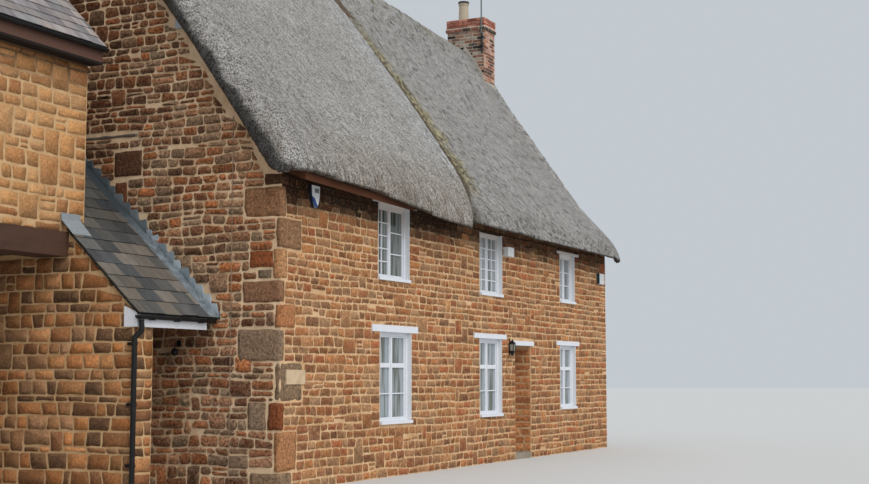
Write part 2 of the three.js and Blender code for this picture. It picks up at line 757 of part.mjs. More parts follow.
function leadFlashing() {
  const eave = LINK_EAVE_Y;
  const back = 2 * LINK_RIDGE_Y - eave;
  const low = linkTop(eave) + LEAD_LIFT;
  const high = linkTop(LINK_RIDGE_Y) + LEAD_LIFT;
  const band = (height) => [
    [eave, low],
    [LINK_RIDGE_Y, high],
    [back, low],
    [back, low + height],
    [LINK_RIDGE_Y, high + height],
    [eave, low + height],
  ];
  const upstand = prismX(band(LEAD_UP), -LEAD_THICK - GAP, -GAP);
  const foot = prismX(band(LEAD_THICK), -LEAD_ON_ROOF, -GAP - OVERLAP);
  add('lead_flashing', join(upstand, foot), 'lead');
}

function porchTrim() {
  const [f0, f1, fz] = FASCIA;
  const fasciaTop = linkTop(f0) - SLATE_LIP - GAP;
  const boardX0 = SIDE_WALL_X - (f1 - f0);
  const front = block(boardX0, FASCIA_RIGHT_X, f0, f1, fz, fasciaTop);
  const [endY, endTop] = FASCIA_END;
  const end = prismX([[f0, fz], [endY, fz], [endY, endTop], [f0, fasciaTop]], boardX0, SIDE_WALL_X - GAP);
  add('porch_fascia', join(front, end), 'whitePaint');

  const gutterY = f0 - GAP - GUTTER_RADIUS;
  const gutterZ = linkTop(LINK_EAVE_Y) - SLATE_LIP - GUTTER_DROP;
  const gutterX = SIDE_WALL_X - VERGE_OUT - GUTTER_PAST;
  add('porch_gutter', gutter(gutterY, gutterZ, gutterX, GUTTER_RIGHT_X), 'blackMetal');

  const [px, py] = PIPE;
  const [lugY0, lugY1] = CLIP_LUG;
  const lugMiddle = (lugY0 + lugY1) / 2;
  const lugs = PIPE_CLIPS.map((z) => block(px, SIDE_WALL_X - GAP, lugY0, lugY1, z, z + CLIP_HEIGHT));
  const clips = PIPE_CLIPS.map((z) => upright(px, py, z, z + CLIP_HEIGHT, PIPE_RADIUS + CLIP_THICK));
  const arms = PIPE_CLIPS.map((z) => block(
    px - CLIP_ARM_HALF,
    px + CLIP_ARM_HALF,
    py,
    lugMiddle,
    z + CLIP_THICK,
    z + CLIP_HEIGHT - CLIP_THICK,
  ));
  const neck = new THREE.CatmullRomCurve3([
    new THREE.Vector3(px, py, PIPE_TOP - OVERLAP),
    new THREE.Vector3(px, py, PIPE_TOP + NECK_BEND),
    new THREE.Vector3(px + NECK_LEAN, gutterY, fz - 2 * NECK_BEND),
    new THREE.Vector3(px + NECK_LEAN, gutterY, gutterZ - GUTTER_RADIUS - NECK_OFF_GUTTER),
  ]);
  const round = new THREE.Shape().absarc(0, 0, PIPE_RADIUS - OVERLAP, 0, Math.PI * 2);
  const swan = new THREE.ExtrudeGeometry(round, { steps: 10, curveSegments: 6, extrudePath: neck });
  const pipe = upright(px, py, 0, PIPE_TOP, PIPE_RADIUS);
  add('porch_downpipe', join(pipe, swan, ...clips, ...arms, ...lugs), 'blackMetal');
}

// A half-round gutter along X, open at the top
function gutter(y, z, x0, x1) {
  const ring = new THREE.Shape();
  ring.absarc(y, z, GUTTER_RADIUS, Math.PI, 2 * Math.PI, false);
  ring.absarc(y, z, GUTTER_RADIUS - GUTTER_WALL, 2 * Math.PI, Math.PI, true);
  const options = { depth: x1 - x0, bevelEnabled: false, curveSegments: 8 };
  const geometry = new THREE.ExtrudeGeometry(ring, options);
  geometry.applyMatrix4(ALONG_X);
  geometry.translate(x0, 0, 0);
  return geometry;
}

function porchLamp() {
  const [x, y, z] = LAMP;
  const ball = new THREE.SphereGeometry(LAMP_RADIUS, 16, 10);
  ball.translate(x, y, z);
  const armZ = z + LAMP_ROD_UP;
  const stem = upright(x, y, z + LAMP_RADIUS / 2, armZ, LAMP_ROD, 10);
  const { thick, half, reach } = LAMP_PLATE;
  const arm = block(x - LAMP_ROD, -thick / 2, y - LAMP_ROD, y + LAMP_ROD, armZ - LAMP_ROD, armZ + LAMP_ROD);
  const plate = block(-thick, -GAP, y - half, y + half, armZ - reach, armZ + reach);
  add('porch_lamp', join(ball, stem, arm, plate), 'blackMetal');
}

function wingWalls() {
  const wallTop = (y) => wingTop(y) - WING_ROOF_THICK - GAP;
  const linkUnder = (y) => linkTop(y) - VERGE_THICK - GAP;
  const gableTop = [
    [WING_BACK_Y, 0],
    [WING_BACK_Y, wallTop(WING_FRONT_Y)],
    [WING_RIDGE_Y, wallTop(WING_RIDGE_Y)],
    [WING_FRONT_Y, wallTop(WING_FRONT_Y)],
  ];
  const right = [
    [SIDE_WALL_FRONT_Y, 0],
    ...gableTop,
    [WING_FRONT_Y, linkUnder(WING_FRONT_Y)],
    [SIDE_WALL_FRONT_Y, linkUnder(SIDE_WALL_FRONT_Y)],
  ];
  add('wing_right_wall', prismX(right, SIDE_WALL_X, WING_RIGHT_X), 'wingStone');
  const left = [[WING_FRONT_Y, 0], ...gableTop];
  add('wing_left_wall', prismX(left, WING_LEFT_X, WING_LEFT_X + WING_WALL), 'wingStone');

  const x0 = WING_LEFT_X + WING_WALL + GAP;
  const x1 = SIDE_WALL_X - GAP;
  const innerY = WING_FRONT_Y + WING_WALL;
  const upper = [
    [WING_FRONT_Y, BEAM[1] + GAP],
    [innerY, BEAM[1] + GAP],
    [innerY, wallTop(innerY)],
    [WING_FRONT_Y, wallTop(WING_FRONT_Y)],
  ];
  add('wing_front_wall', prismX(upper, x0, x1), 'wingStone');
  add('wing_back_wall', prismX(mirrored(upper, WING_RIDGE_Y), x0, x1), 'wingStone');
  const beam = [
    [WING_FRONT_Y - BEAM_PROUD, BEAM[0]],
    [innerY, BEAM[0]],
    [innerY, BEAM[1]],
    [WING_FRONT_Y - BEAM_PROUD, BEAM[1]],
  ];
  add('wing_front_beam', prismX(beam, x0, x1), 'brownWood');
  add('wing_back_beam', prismX(mirrored(beam, WING_RIDGE_Y), x0, x1), 'brownWood');
  const farInnerY = WING_BACK_Y - WING_WALL;
  const floorBottom = BEAM[1] - WING_FLOOR_THICK;
  add('wing_floor', block(x0, x1, innerY + GAP, farInnerY - GAP, floorBottom, BEAM[1]), 'floorWood');
}

function wingRoof() {
  const slabY = WING_EAVE_Y + WING_SLAB_IN;
  const ridge = WING_RIDGE_Y - GAP;
  const outline = slopeOutline(wingTop, WING_ROOF_THICK, WING_EAVE_Y, slabY, ridge);
  const x0 = WING_LEFT_X - WING_GABLE_OUT;
  const x1 = WING_RIGHT_X + WING_GABLE_OUT;
  add('wing_roof_front', prismX(outline, x0, x1), 'slate');
  add('wing_roof_back', prismX(mirrored(outline, WING_RIDGE_Y), x0, x1), 'slate');

  const fasciaY = WING_EAVE_Y + WING_FASCIA_IN;
  const fasciaTop = wingTop(fasciaY) - SLATE_LIP - GAP;
  const bottom = WING_FASCIA_BOTTOM;
  const fascia = block(x0, x1, fasciaY, slabY - GAP, bottom, fasciaTop);
  const soffit = block(x0, x1, fasciaY, WING_FRONT_Y - GAP, bottom, bottom + WING_SOFFIT_THICK);
  add('wing_fascia', join(fascia, soffit), 'brownWood');
  const gutterZ = wingTop(WING_EAVE_Y) - SLATE_LIP - GUTTER_DROP;
  const gutterX1 = x1 + WING_GUTTER_PAST;
  add('wing_gutter', gutter(fasciaY - GAP - GUTTER_RADIUS, gutterZ, x0, gutterX1), 'blackMetal');
}

frontWalls();
backWall();
gables();
floors();
thatch();
eaveBoard();
chimney();
frontWindows();
backWindowPieces();
door();
fittings();
wingWalls();
wingRoof();
linkRoof();
leadFlashing();
porchTrim();
porchLamp();

// Put the origin at the bottom centre of the whole house
const box = new THREE.Box3().setFromObject(house);
house.position.set(-(box.min.x + box.max.x) / 2, -(box.min.y + box.max.y) / 2, -box.min.z);

export default house;
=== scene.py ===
"""The looks of a thatched stone cottage, with the slated link and wing beside it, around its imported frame.

All sizes are metres from the cottage's near front corner at the ground: X runs along the front wall,
Y into the house and Z up. HOUSE is where that corner stands in the row frame. A colour has the screen's
values from 0 to 255, and a tint has three factors."""
import math
import random
from dataclasses import dataclass, replace
from itertools import product
from typing import Callable
import bpy
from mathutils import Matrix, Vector, noise
from mathutils.bvhtree import BVHTree


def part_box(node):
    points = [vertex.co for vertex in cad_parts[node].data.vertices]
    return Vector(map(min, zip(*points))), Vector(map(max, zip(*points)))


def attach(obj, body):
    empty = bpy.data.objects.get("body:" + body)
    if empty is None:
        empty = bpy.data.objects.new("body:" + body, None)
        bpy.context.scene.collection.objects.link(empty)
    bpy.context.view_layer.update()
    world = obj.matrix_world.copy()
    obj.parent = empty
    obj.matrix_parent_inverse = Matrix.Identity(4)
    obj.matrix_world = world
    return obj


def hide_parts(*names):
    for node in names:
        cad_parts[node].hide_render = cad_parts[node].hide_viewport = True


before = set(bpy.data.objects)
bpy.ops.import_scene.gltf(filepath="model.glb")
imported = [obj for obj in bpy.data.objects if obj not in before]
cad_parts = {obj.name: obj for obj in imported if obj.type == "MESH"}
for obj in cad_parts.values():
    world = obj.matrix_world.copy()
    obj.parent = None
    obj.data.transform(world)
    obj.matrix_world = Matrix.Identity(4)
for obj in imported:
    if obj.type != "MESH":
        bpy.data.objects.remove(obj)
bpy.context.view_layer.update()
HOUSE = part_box("front_wall_left")[0]
UP = Vector((0, 0, 1))
UNTINTED = Vector((1, 1, 1))
HAIR = 0.001


def add(name, data):
    """A new object in the scene."""
    made = bpy.data.objects.new(name, data)
    bpy.context.scene.collection.objects.link(made)
    return made


def ease(value, low, high):
    """0 at low and 1 at high, with a soft change between them."""
    share = max(0.0, min(1.0, (value - low) / (high - low)))
    return share * share * (3 - 2 * share)


def room(node):
    """A CAD node's lowest and highest corners, from the cottage's near front corner."""
    low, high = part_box(node)
    return low - HOUSE, high - HOUSE


# The camera stands where the photo was taken from
PHOTO_WIDTH = 869
FOCAL_PIXELS = 1391.3
SENSOR_WIDTH = 36
CAMERA_AT = Vector((-16.866, -10.748, 1.62))
CAMERA_YAW = math.radians(26.2)
CAMERA_PITCH = math.radians(5.53)
FARTHEST_SEEN = 200


def make_camera():
    lens = bpy.data.cameras.new("camera")
    lens.sensor_width = SENSOR_WIDTH
    lens.lens = SENSOR_WIDTH * FOCAL_PIXELS / PHOTO_WIDTH
    lens.clip_end = FARTHEST_SEEN
    camera = add("camera", lens)
    level = math.cos(CAMERA_PITCH)
    ahead = Vector((math.cos(CAMERA_YAW) * level, math.sin(CAMERA_YAW) * level, math.sin(CAMERA_PITCH)))
    camera.location = HOUSE + CAMERA_AT
    camera.rotation_euler = ahead.to_track_quat("-Z", "Y").to_euler()
    bpy.context.scene.camera = camera


# Light and floor
SKY_COLOUR = (0.80, 0.86, 0.92, 1)
SKY_STRENGTH = 0.68
SUN_COLOUR = (1.0, 0.97, 0.93)
SUN_STRENGTH = 2.0
SUN_SPREAD = math.radians(60)
SUN_FROM = Vector((-0.5, -1.0, 1.0))
FLOOR_COLOUR = (0.62, 0.62, 0.61, 1)
FLOOR_HALF = 200


def make_light():
    world = bpy.data.worlds.new("studio")
    world.use_nodes = True
    sky = world.node_tree.nodes["Background"]
    sky.inputs["Color"].default_value = SKY_COLOUR
    sky.inputs["Strength"].default_value = SKY_STRENGTH
    bpy.context.scene.world = world
    sun = bpy.data.lights.new("sun", "SUN")
    sun.energy = SUN_STRENGTH
    sun.angle = SUN_SPREAD
    sun.color = SUN_COLOUR
    add("sun", sun).rotation_euler = SUN_FROM.to_track_quat("Z", "Y").to_euler()
    bpy.context.scene.view_settings.view_transform = "Standard"


def make_floor():
    mesh = bpy.data.meshes.new("floor")
    corners = [(FLOOR_HALF * x, FLOOR_HALF * y, 0) for x, y in SQUARE]
    mesh.from_pydata(corners, [], [(0, 1, 2, 3)])
    pale = Finish("pale_floor", 0.9, 0.5)
    pale.surface.inputs["Base Color"].default_value = FLOOR_COLOUR
    mesh.materials.append(pale.material)
    add("floor", mesh)


# Shader helpers
def paint(red, green, blue):
    """A screen colour as the renderer's linear numbers."""
    return tuple(((c / 255 + 0.055) / 1.055) ** 2.4 if c > 10 else c / 3294.6 for c in (red, green, blue))


def rgba(colour):
    return (*colour, 1)


class Finish:
    """A material under construction: short calls that add nodes and give back the socket they end in."""

    def __init__(self, name, roughness, specular, metallic=0.0):
        self.material = bpy.data.materials.new(name)
        self.material.use_nodes = True
        self.tree = self.material.node_tree
        self.surface = self.tree.nodes["Principled BSDF"]
        self.surface.inputs["Roughness"].default_value = roughness
        self.surface.inputs["Specular IOR Level"].default_value = specular
        self.surface.inputs["Metallic"].default_value = metallic
        self.place = self.node("TexCoord").outputs["Object"]

    def node(self, kind, sockets=None, **settings):
        made = self.tree.nodes.new("ShaderNode" + kind)
        for name, value in settings.items():
            setattr(made, name, value)
        for key, value in (sockets or {}).items():
            if isinstance(value, bpy.types.NodeSocket):
                self.tree.links.new(value, made.inputs[key])
            else:
                made.inputs[key].default_value = value
        return made

    def stretched(self, scale, turn=(0, 0, 0)):
        """The place, turned and then scaled along each axis."""
        sockets = {"Vector": self.place, "Rotation": turn, "Scale": [1 / part for part in scale]}
        return self.node("Mapping", sockets, vector_type="TEXTURE").outputs["Vector"]

    def grain(self, scale, detail, rough, where=None, warp=0.0):
        sockets = {"Vector": where or self.place, "Scale": scale, "Detail": detail, "Roughness": rough}
        sockets["Distortion"] = warp
        return self.node("TexNoise", sockets).outputs["Fac"]

    def ramp(self, value, *stops):
        """A ramp through stops, each a place from 0 to 1 and a tint."""
        made = self.node("ValToRGB", {"Fac": value})
        for index, (at, tint) in enumerate(stops):
            part = made.color_ramp.elements[index] if index < 2 else made.color_ramp.elements.new(at)
            part.position = at
            part.color = rgba(tint)
        return made.outputs["Color"]

    def level(self, value, low, high, to_low=0.0, to_high=1.0):
        sockets = {"Value": value, "From Min": low, "From Max": high, "To Min": to_low, "To Max": to_high}
        return self.node("MapRange", sockets).outputs["Result"]

    def before(self, axis, place):
        """1 up to a hair past a place along an axis of the row frame, and 0 beyond it."""
        return self.level(self.along(axis), place + HAIR, place + 2 * HAIR, 1.0, 0.0)

    def plus(self, one, other):
        return self.node("Math", {0: one, 1: other}, operation="ADD").outputs["Value"]

    def times(self, one, other):
        return self.node("Math", {0: one, 1: other}, operation="MULTIPLY").outputs["Value"]

    def mix(self, share, one, other, blend="MIX"):
        sockets = {0: share, 6: one, 7: other}
        return self.node("Mix", sockets, data_type="RGBA", blend_type=blend).outputs[2]

    def over(self, share, base, colour):
        """A screen colour laid over base."""
        return self.mix(share, base, rgba(paint(*colour)))

    def worn(self, share, base, value, *stops):
        """A ramp multiplied into base."""
        return self.mix(share, base, self.ramp(value, *stops), "MULTIPLY")

    def tint(self):
        return self.node("Attribute", attribute_name="tint").outputs["Color"]

    def along(self, axis):
        return self.node("SeparateXYZ", {"Vector": self.place}).outputs[axis]

    def colour(self, socket):
        self.tree.links.new(socket, self.surface.inputs["Base Color"])

    def rough(self, socket):
        self.tree.links.new(socket, self.surface.inputs["Roughness"])

    def bump(self, height, strength, distance):
        sockets = {"Height": height, "Strength": strength, "Distance": distance}
        self.tree.links.new(self.node("Bump", sockets).outputs["Normal"], self.surface.inputs["Normal"])


# Materials
def stone_finish(name, speck, contrast):
    """Weathered stone: each stone's own tint, with dark hollows, paler worn patches and lichen specks."""
    f = Finish(name, 0.95, 0.12)
    mid = f.grain(24, 5, 0.72)
    hollows = (0.34, (0.22, 0.20, 0.19)), (0.50, (0.95, 0.93, 0.91)), (0.66, (1.65, 1.62, 1.56))
    base = f.worn(contrast, f.tint(), mid, *hollows)
    base = f.worn(0.4, base, f.grain(6, 4, 0.6), (0.32, (0.62, 0.60, 0.60)), (0.62, (1.12, 1.10, 1.08)))
    spots = f.level(f.grain(38, 4, 0.75, warp=0.6), 0.57, 0.68, 0.0, 0.55)
    f.colour(f.over(spots, base, speck))
    f.bump(f.plus(f.grain(85, 3, 0.7), f.times(mid, 2.5)), 0.8, 0.014)
    return f.material


# Each wall's mortar: where it is light, and where it is dark
FRONT_MORTAR = (232, 194, 152), (204, 162, 118)
GABLE_MORTAR = (246, 216, 180), (212, 180, 144)
WING_MORTAR = (218, 182, 138), (194, 154, 110)
BRICK_MORTAR = (222, 212, 196), (172, 160, 146)


def mortar_finish(name, light, dark, stain_and_shade=None, has_ends=False):
    """Lime mortar. Under an eave it is darker, with painted shade and stain, and the ends of the front walls
    belong to the gables.
    """
    f = Finish(name, 0.97, 0.1)
    broad = f.grain(3.5, 4, 0.6)
    fine = f.grain(120, 3, 0.7)
    base = f.ramp(broad, (0.3, paint(*dark)), (0.62, paint(*light)))
    if stain_and_shade:
        low, high, last_y, colour = stain_and_shade
        streaks = f.grain(2.6, 4, 0.65, f.stretched((1, 1, 0.18)))
        # Darker under an eave: painted shade, and at the front stain as well.
        dirt_and_shade = f.level(f.plus(f.along("Z"), f.times(streaks, 0.6)), low, high)
        base = f.over(f.times(dirt_and_shade, f.before("Y", HOUSE.y + last_y)), base, colour)
    if has_ends:
        gable = f.ramp(broad, (0.3, paint(*GABLE_MORTAR[1])), (0.62, paint(*GABLE_MORTAR[0])))
        base = f.mix(f.before("X", HOUSE.x), base, gable)
    f.colour(f.worn(0.35, base, fine, (0.3, (0.25, 0.23, 0.2)), (0.65, (1, 1, 1))))
    f.bump(f.plus(fine, f.times(broad, 1.5)), 0.6, 0.008)
    return f.material


def tinted_finish(name, roughness, specular, wear=0.25):
    """A small made thing whose colours are in its mesh."""
    f = Finish(name, roughness, specular)
    f.colour(f.worn(wear, f.tint(), f.grain(30, 4, 0.6), (0.3, (0.6, 0.59, 0.57)), (0.65, (1.0, 1.0, 1.0))))
    return f.material


THATCH_LIGHT, THATCH_MID, THATCH_DARK = (206, 204, 201), (152, 150, 147), (64, 61, 58)
LOW_STRANDS = (96, 80, 66)
LOW_FROM, LOW_TO = 4.6, 5.9
STRAW_LEAN = (0, -0.45, 0.33)
MIDDLE_GRAIN = 0.495


def thatch_finish(name, ends_size, crisp, dash, low_strands, relief):
    """Straw laid down the slope: the stipple of cut ends, dark dashes between bundles, and strands low down.

    The mesh's own tint carries the shade of the underside and the verge, and the moss."""
    f = Finish(name, 0.95, 0.08)
    ends = f.grain(ends_size, 4, 0.85)
    strands = f.grain(26, 4, 0.7, f.stretched((1, 0.25, 0.25), STRAW_LEAN))
    both = f.plus(f.times(strands, 0.25), f.times(ends, 0.75))
    straw = f.ramp(both, (MIDDLE_GRAIN - crisp, paint(*THATCH_DARK)), (MIDDLE_GRAIN, paint(*THATCH_MID)),
                   (MIDDLE_GRAIN + 0.005 + crisp, paint(*THATCH_LIGHT)))
    bundles = f.grain(18, 3, 0.65, f.stretched((1, 0.36, 0.36), STRAW_LEAN))
    dashes = f.level(bundles, 0.54, 0.64, 0.0, dash)
    straw = f.over(dashes, straw, THATCH_DARK)
    if low_strands:
        low = f.level(f.along("Z"), LOW_FROM, LOW_TO, 1.0, 0.0)
        fibres = f.level(f.grain(15, 4, 0.7, f.stretched((1, 0.16, 0.16))), 0.46, 0.64, 0.0, low_strands)
        straw = f.over(f.times(low, fibres), straw, LOW_STRANDS)
    straw = f.worn(1.0, straw, f.grain(0.7, 4, 0.6), (0.3, (0.86, 0.85, 0.84)), (0.7, (1.05, 1.05, 1.05)))
    f.colour(f.mix(1.0, straw, f.tint(), "MULTIPLY"))
    f.bump(f.plus(both, f.times(dashes, -0.6)), relief, 0.03)
    return f.material


def slate_finish(name):
    f = Finish(name, 0.62, 0.35)
    streaks = f.grain(9, 4, 0.6, f.stretched((1, 0.3, 0.3)))
    fine = f.grain(60, 3, 0.6)
    base = f.worn(0.7, f.tint(), streaks, (0.3, (0.55, 0.53, 0.51)), (0.64, (1.1, 1.09, 1.07)))
    f.colour(f.over(f.level(fine, 0.52, 0.75, 0, 0.4), base, (158, 152, 136)))
    f.bump(f.plus(fine, streaks), 0.35, 0.006)
    return f.material


def plain_finish(name, colour, roughness, specular, wear, grain, depth, stretch, metallic):
    """A mostly even surface with faint grain and wear: paint, plastic, metal, timber or flagstone."""
    f = Finish(name, roughness, specular, metallic)
    broad = f.grain(grain * 0.12, 4, 0.6, f.stretched(stretch))
    fine = f.grain(grain, 3, 0.6, f.stretched(stretch))
    base = f.over(f.level(broad, 0.45, 0.75, 0, 0.8), rgba(paint(*colour)), wear)
    f.colour(f.over(f.level(fine, 0.5, 0.85, 0, 0.5), base, wear))
    f.rough(f.level(fine, 0.2, 0.8, roughness - 0.08, roughness + 0.08))
    f.bump(fine, 0.4, depth)
    return f.material


def lead_finish(name):
    """Lead sheet, darker high up between the two houses."""
    f = Finish(name, 0.6, 0.3)
    cloudy = f.grain(11, 4, 0.7)
    sheet = f.ramp(cloudy, (0.36, paint(92, 102, 108)), (0.62, paint(140, 150, 157)))
    f.colour(f.over(f.level(f.along("Z"), 3.55, 4.15), sheet, (60, 69, 74)))
    f.bump(cloudy, 0.4, 0.004)
    return f.material


def timber_paint(name):
    """White paint, a little worn, and darker and warmer high up under the eave, with painted shade and stain.
    """
    f = Finish(name, 0.5, 0.4)
    fibres = f.grain(80, 4, 0.6, f.stretched((1, 1, 0.2)))
    base = f.over(f.level(fibres, 0.5, 0.75, 0.0, 0.6), rgba(paint(222, 225, 232)), (184, 182, 178))
    # Warmer and darker high up under the eave: painted shade, and stain as well.
    f.colour(f.over(f.level(f.along("Z"), 3.85, 4.35, 0.0, 0.5), base, (196, 174, 150)))
    f.bump(fibres, 0.3, 0.001)
    return f.material


def brick_finish(name):
    f = Finish(name, 0.9, 0.15)
    broad = f.grain(11, 4, 0.6)
    fine = f.grain(90, 3, 0.7)
    stained = f.worn(0.6, f.tint(), broad, (0.3, (0.35, 0.33, 0.31)), (0.6, (1.0, 1.0, 1.0)))
    lime = f.level(f.grain(5, 5, 0.75), 0.56, 0.74, 0, 0.6)
    f.colour(f.over(lime, stained, (168, 160, 148)))
    f.bump(f.plus(fine, broad), 0.5, 0.006)
    return f.material


def two_part_finish(name, axis, at, before, after, roughness):
    """One colour up to a place along an axis, and another beyond it."""
    f = Finish(name, roughness, 0.35)
    both = f.over(f.level(f.along(axis), at, at + HAIR), rgba(paint(*before)), after)
    f.colour(f.worn(0.7, both, f.grain(30, 4, 0.6), (0.3, (0.72, 0.71, 0.70)), (0.65, (1.0, 1.0, 1.0))))
    return f.material


CLOTH_WIDTH, CLOTH_EDGE = 0.075, 0.004


def glass_finish(name, dark, light, cloth=()):
    """Panes seen from outside: a dim room, with a strip of pale cloth from each place in cloth on."""
    f = Finish(name, 0.12, 0.6)
    folds = f.grain(5.0, 2, 0.5, f.stretched((3.0, 1.0, 0.25)))
    seen = f.ramp(folds, (0.40, paint(*dark)), (0.62, paint(*light)))
    for start in cloth:
        across, end = f.along("X"), start + CLOTH_WIDTH
        on = f.level(across, start, start + CLOTH_EDGE)
        off = f.level(across, end, end + CLOTH_EDGE, 1.0, 0.0)
        seen = f.over(f.times(on, off), seen, light)
    f.colour(seen)
    f.bump(f.grain(3, 1, 0.5), 0.08, 0.01)
    return f.material


def dress(material, *nodes):
    """Gives carried-over CAD nodes their finish."""
    for name in nodes:
        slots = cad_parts[name].data.materials
        slots.clear()
        slots.append(material)


def tint_points(mesh, tints):
    """Stores a tint on each point of a mesh, for the materials to read."""
    values = [channel for tint in tints for channel in (*tint, 1.0)]
    mesh.color_attributes.new("tint", "FLOAT_COLOR", "POINT").data.foreach_set("color", values)


def hand_over(made, instead=()):
    """Makes a new object a piece of the part, in place of the CAD nodes named in instead."""
    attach(made, "root")
    for node in instead:
        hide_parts(node)


class Pile:
    """Solids gathered into one mesh, each with a tint of its own."""

    def __init__(self):
        self.points = []
        self.faces = []
        self.tints = []

    def add(self, points, faces, tint):
        start = len(self.points)
        self.points += points
        self.faces += [[start + index for index in face] for face in faces]
        self.tints += tint if isinstance(tint, list) else [tint] * len(points)

    def piece(self, name, material, slot, smooth=False, instead=()):
        mesh = bpy.data.meshes.new(name)
        mesh.from_pydata([HOUSE + Vector(point) for point in self.points], [], self.faces)
        tint_points(mesh, self.tints)
        if smooth:
            mesh.shade_smooth()
        mesh.materials.append(material)
        hand_over(add(name, mesh), instead)


SQUARE = [(-1, -1), (1, -1), (1, 1), (-1, 1)]
BOX_SIGNS = [(x, y, z) for z in (-1, 1) for y in (-1, 1) for x in (-1, 1)]


def box_faces():
    """The faces of a box whose corner c has a point 3c + axis on each of its three sides."""
    def corner(axis, sign, a, b):
        signs = [0, 0, 0]
        signs[axis], signs[(axis + 1) % 3], signs[(axis + 2) % 3] = sign, a, b
        return 3 * BOX_SIGNS.index(tuple(signs))

    faces = []
    for axis in range(3):
        one, two = (axis + 1) % 3, (axis + 2) % 3
        for sign in (-1, 1):
            faces.append([corner(axis, sign, a, b) + axis for a, b in SQUARE][::sign])
        for a, b in product((-1, 1), repeat=2):
            low, high = corner(axis, -1, a, b), corner(axis, 1, a, b)
            faces.append([low + one, high + one, high + two, low + two][::-a * b])
    for number, signs in enumerate(BOX_SIGNS):
        faces.append([3 * number, 3 * number + 1, 3 * number + 2][::math.prod(signs)])
    return faces


BOX_FACES = box_faces()


def block(pile, low, high, bevel, tint, rng=None, rough=0.0, turn=None):
    """A box with bevelled edges. rough moves each corner a little, and turn maps its points into place."""
    low, high = Vector(low), Vector(high)
    middle, half = (low + high) / 2, (high - low) / 2
    points = []
    for signs in BOX_SIGNS:
        shift = Vector([rng.uniform(-rough, rough) for _ in range(3)]) if rng else Vector((0, 0, 0))
        corner = Vector([half[i] * signs[i] for i in range(3)]) + shift
        for axis in range(3):
            inset = Vector([0 if i == axis else -bevel * signs[i] for i in range(3)])
            points.append(middle + corner + inset)
    pile.add([turn(point) for point in points] if turn else points, BOX_FACES, tint)


def between(pile, back, front, tint, flipped=False):
    """A solid between two rings of points that run counter-clockwise, seen from in front."""
    count = len(back)
    faces = [list(range(count))[::-1], [count + i for i in range(count)]]
    faces += [[i, (i + 1) % count, count + (i + 1) % count, count + i] for i in range(count)]
    pile.add(back + front, [face[::-1] for face in faces] if flipped else faces, tint)


def sideways(y, x, z):
    return Vector((x, y, z))


def prism(pile, outline, back, front, tint, place=sideways):
    """An outline given thickness, from back to front. Without a place of its own it lies in Y and Z."""
    rings = [[place(a, depth, z) for a, z in outline] for depth in (back, front)]
    between(pile, *rings, tint)


class Wall:
    """A flat stretch of wall seen from outside: u runs to the right from start, v up, proud out of it.

    start and out have an X and a Y."""

    def __init__(self, start, out, length, height, top=None, bare=None):
        self.start = Vector((*start, 0))
        self.out = Vector((*out, 0))
        self.along = UP.cross(self.out)
        self.length = length
        self.height = height
        self.top = top or (lambda u: height)
        self.bare = bare or (lambda u, v: False)

    def at(self, u, v, proud):
        return self.start + self.along * u + UP * v + self.out * proud


@dataclass
class Masonry:
    """How a wall's stones are laid. split is the chance of two stones in a course's height, and jump that
    of one stone through two courses. rim colours the stones' edges, and under is how much painted shade
    darkens each stone's lower edges."""
    rise: tuple
    width: tuple
    joint: float
    proud: tuple
    round_off: float
    wave: float
    split: float
    jump: float
    colours: list
    spread: float
    rim: tuple
    under: float
    shade: Callable = lambda u, v: UNTINTED

    def tint(self, u, v, rng):
        chosen, other = (Vector(paint(*rng.choice(self.colours))) for _ in range(2))
        bright = rng.uniform(1 - self.spread, 1 + self.spread)
        return chosen.lerp(other, rng.uniform(0, 0.5)) * bright * self.shade(u, v)


# Of every stone: how deep it is sunk, its least size, what edge gets a point midway, and its shoulder
SUNK = 0.012
LEAST = 0.04
LONG_EDGE = 0.17
SHOULDER = 0.009


def centre(corners):
    return sum(corners, Vector((0, 0))) / len(corners)


def stone(pile, wall, corners, style, tint, rng):
    """One stone: an uneven outline on the wall, a shoulder, and a face that is highest off its middle."""
    middle = centre(corners)
    outline = []
    for index, corner in enumerate(corners):
        after = corners[(index + 1) % len(corners)]
        for other in (corners[index - 1], after):
            edge = other - corner
            step = min(style.round_off * rng.uniform(0.3, 1.7), 0.42 * edge.length)
            outline.append(corner + edge * (step / max(edge.length, 1e-6)))
        if (after - corner).length > LONG_EDGE:
            inward = (middle - (corner + after) / 2).normalized()
            outline.append(corner.lerp(after, rng.uniform(0.35, 0.65)) + inward * rng.uniform(-0.006, 0.010))
    count = len(outline)
    size = min(SHOULDER, 0.10 * (corners[0] - corners[2]).length)
    shoulder = [point + (middle - point).normalized() * size * rng.uniform(0.5, 1.6) for point in outline]
    crown = middle + (corners[2] - corners[0]) * rng.uniform(-0.2, 0.2)
    proud = rng.uniform(*style.proud)
    points = [wall.at(*point, -SUNK) for point in outline]
    points += [wall.at(*point, proud * rng.uniform(0.5, 1.0)) for point in shoulder]
    points.append(wall.at(*crown, proud * rng.uniform(1.0, 1.4)))
    ring = [(i, (i + 1) % count) for i in range(count)]
    faces = [(a, b, b + count, a + count) for a, b in ring]
    faces += [(a + count, b + count, 2 * count) for a, b in ring]
    # Painted light and shade: each stone's lower edges and foot are darker, its upper edges and crown a
    # little lighter.
    half = max(corners[3].y, corners[2].y) - middle.y
    lit = [1 - style.under * ease(middle.y - point.y, -0.2 * half, 0.9 * half) for point in outline]
    rim = Vector(paint(*style.rim)) * style.shade(*middle)
    edges = [tuple(tint.lerp(rim, rng.uniform(0.05, 0.4)) * (0.35 + 0.7 * share)) for share in lit]
    pile.add(points, faces, [tuple(rim * share) for share in lit] + edges + [tuple(tint * 1.06)])


HEWN_EDGE, HEWN_CELL = 0.03, 0.06


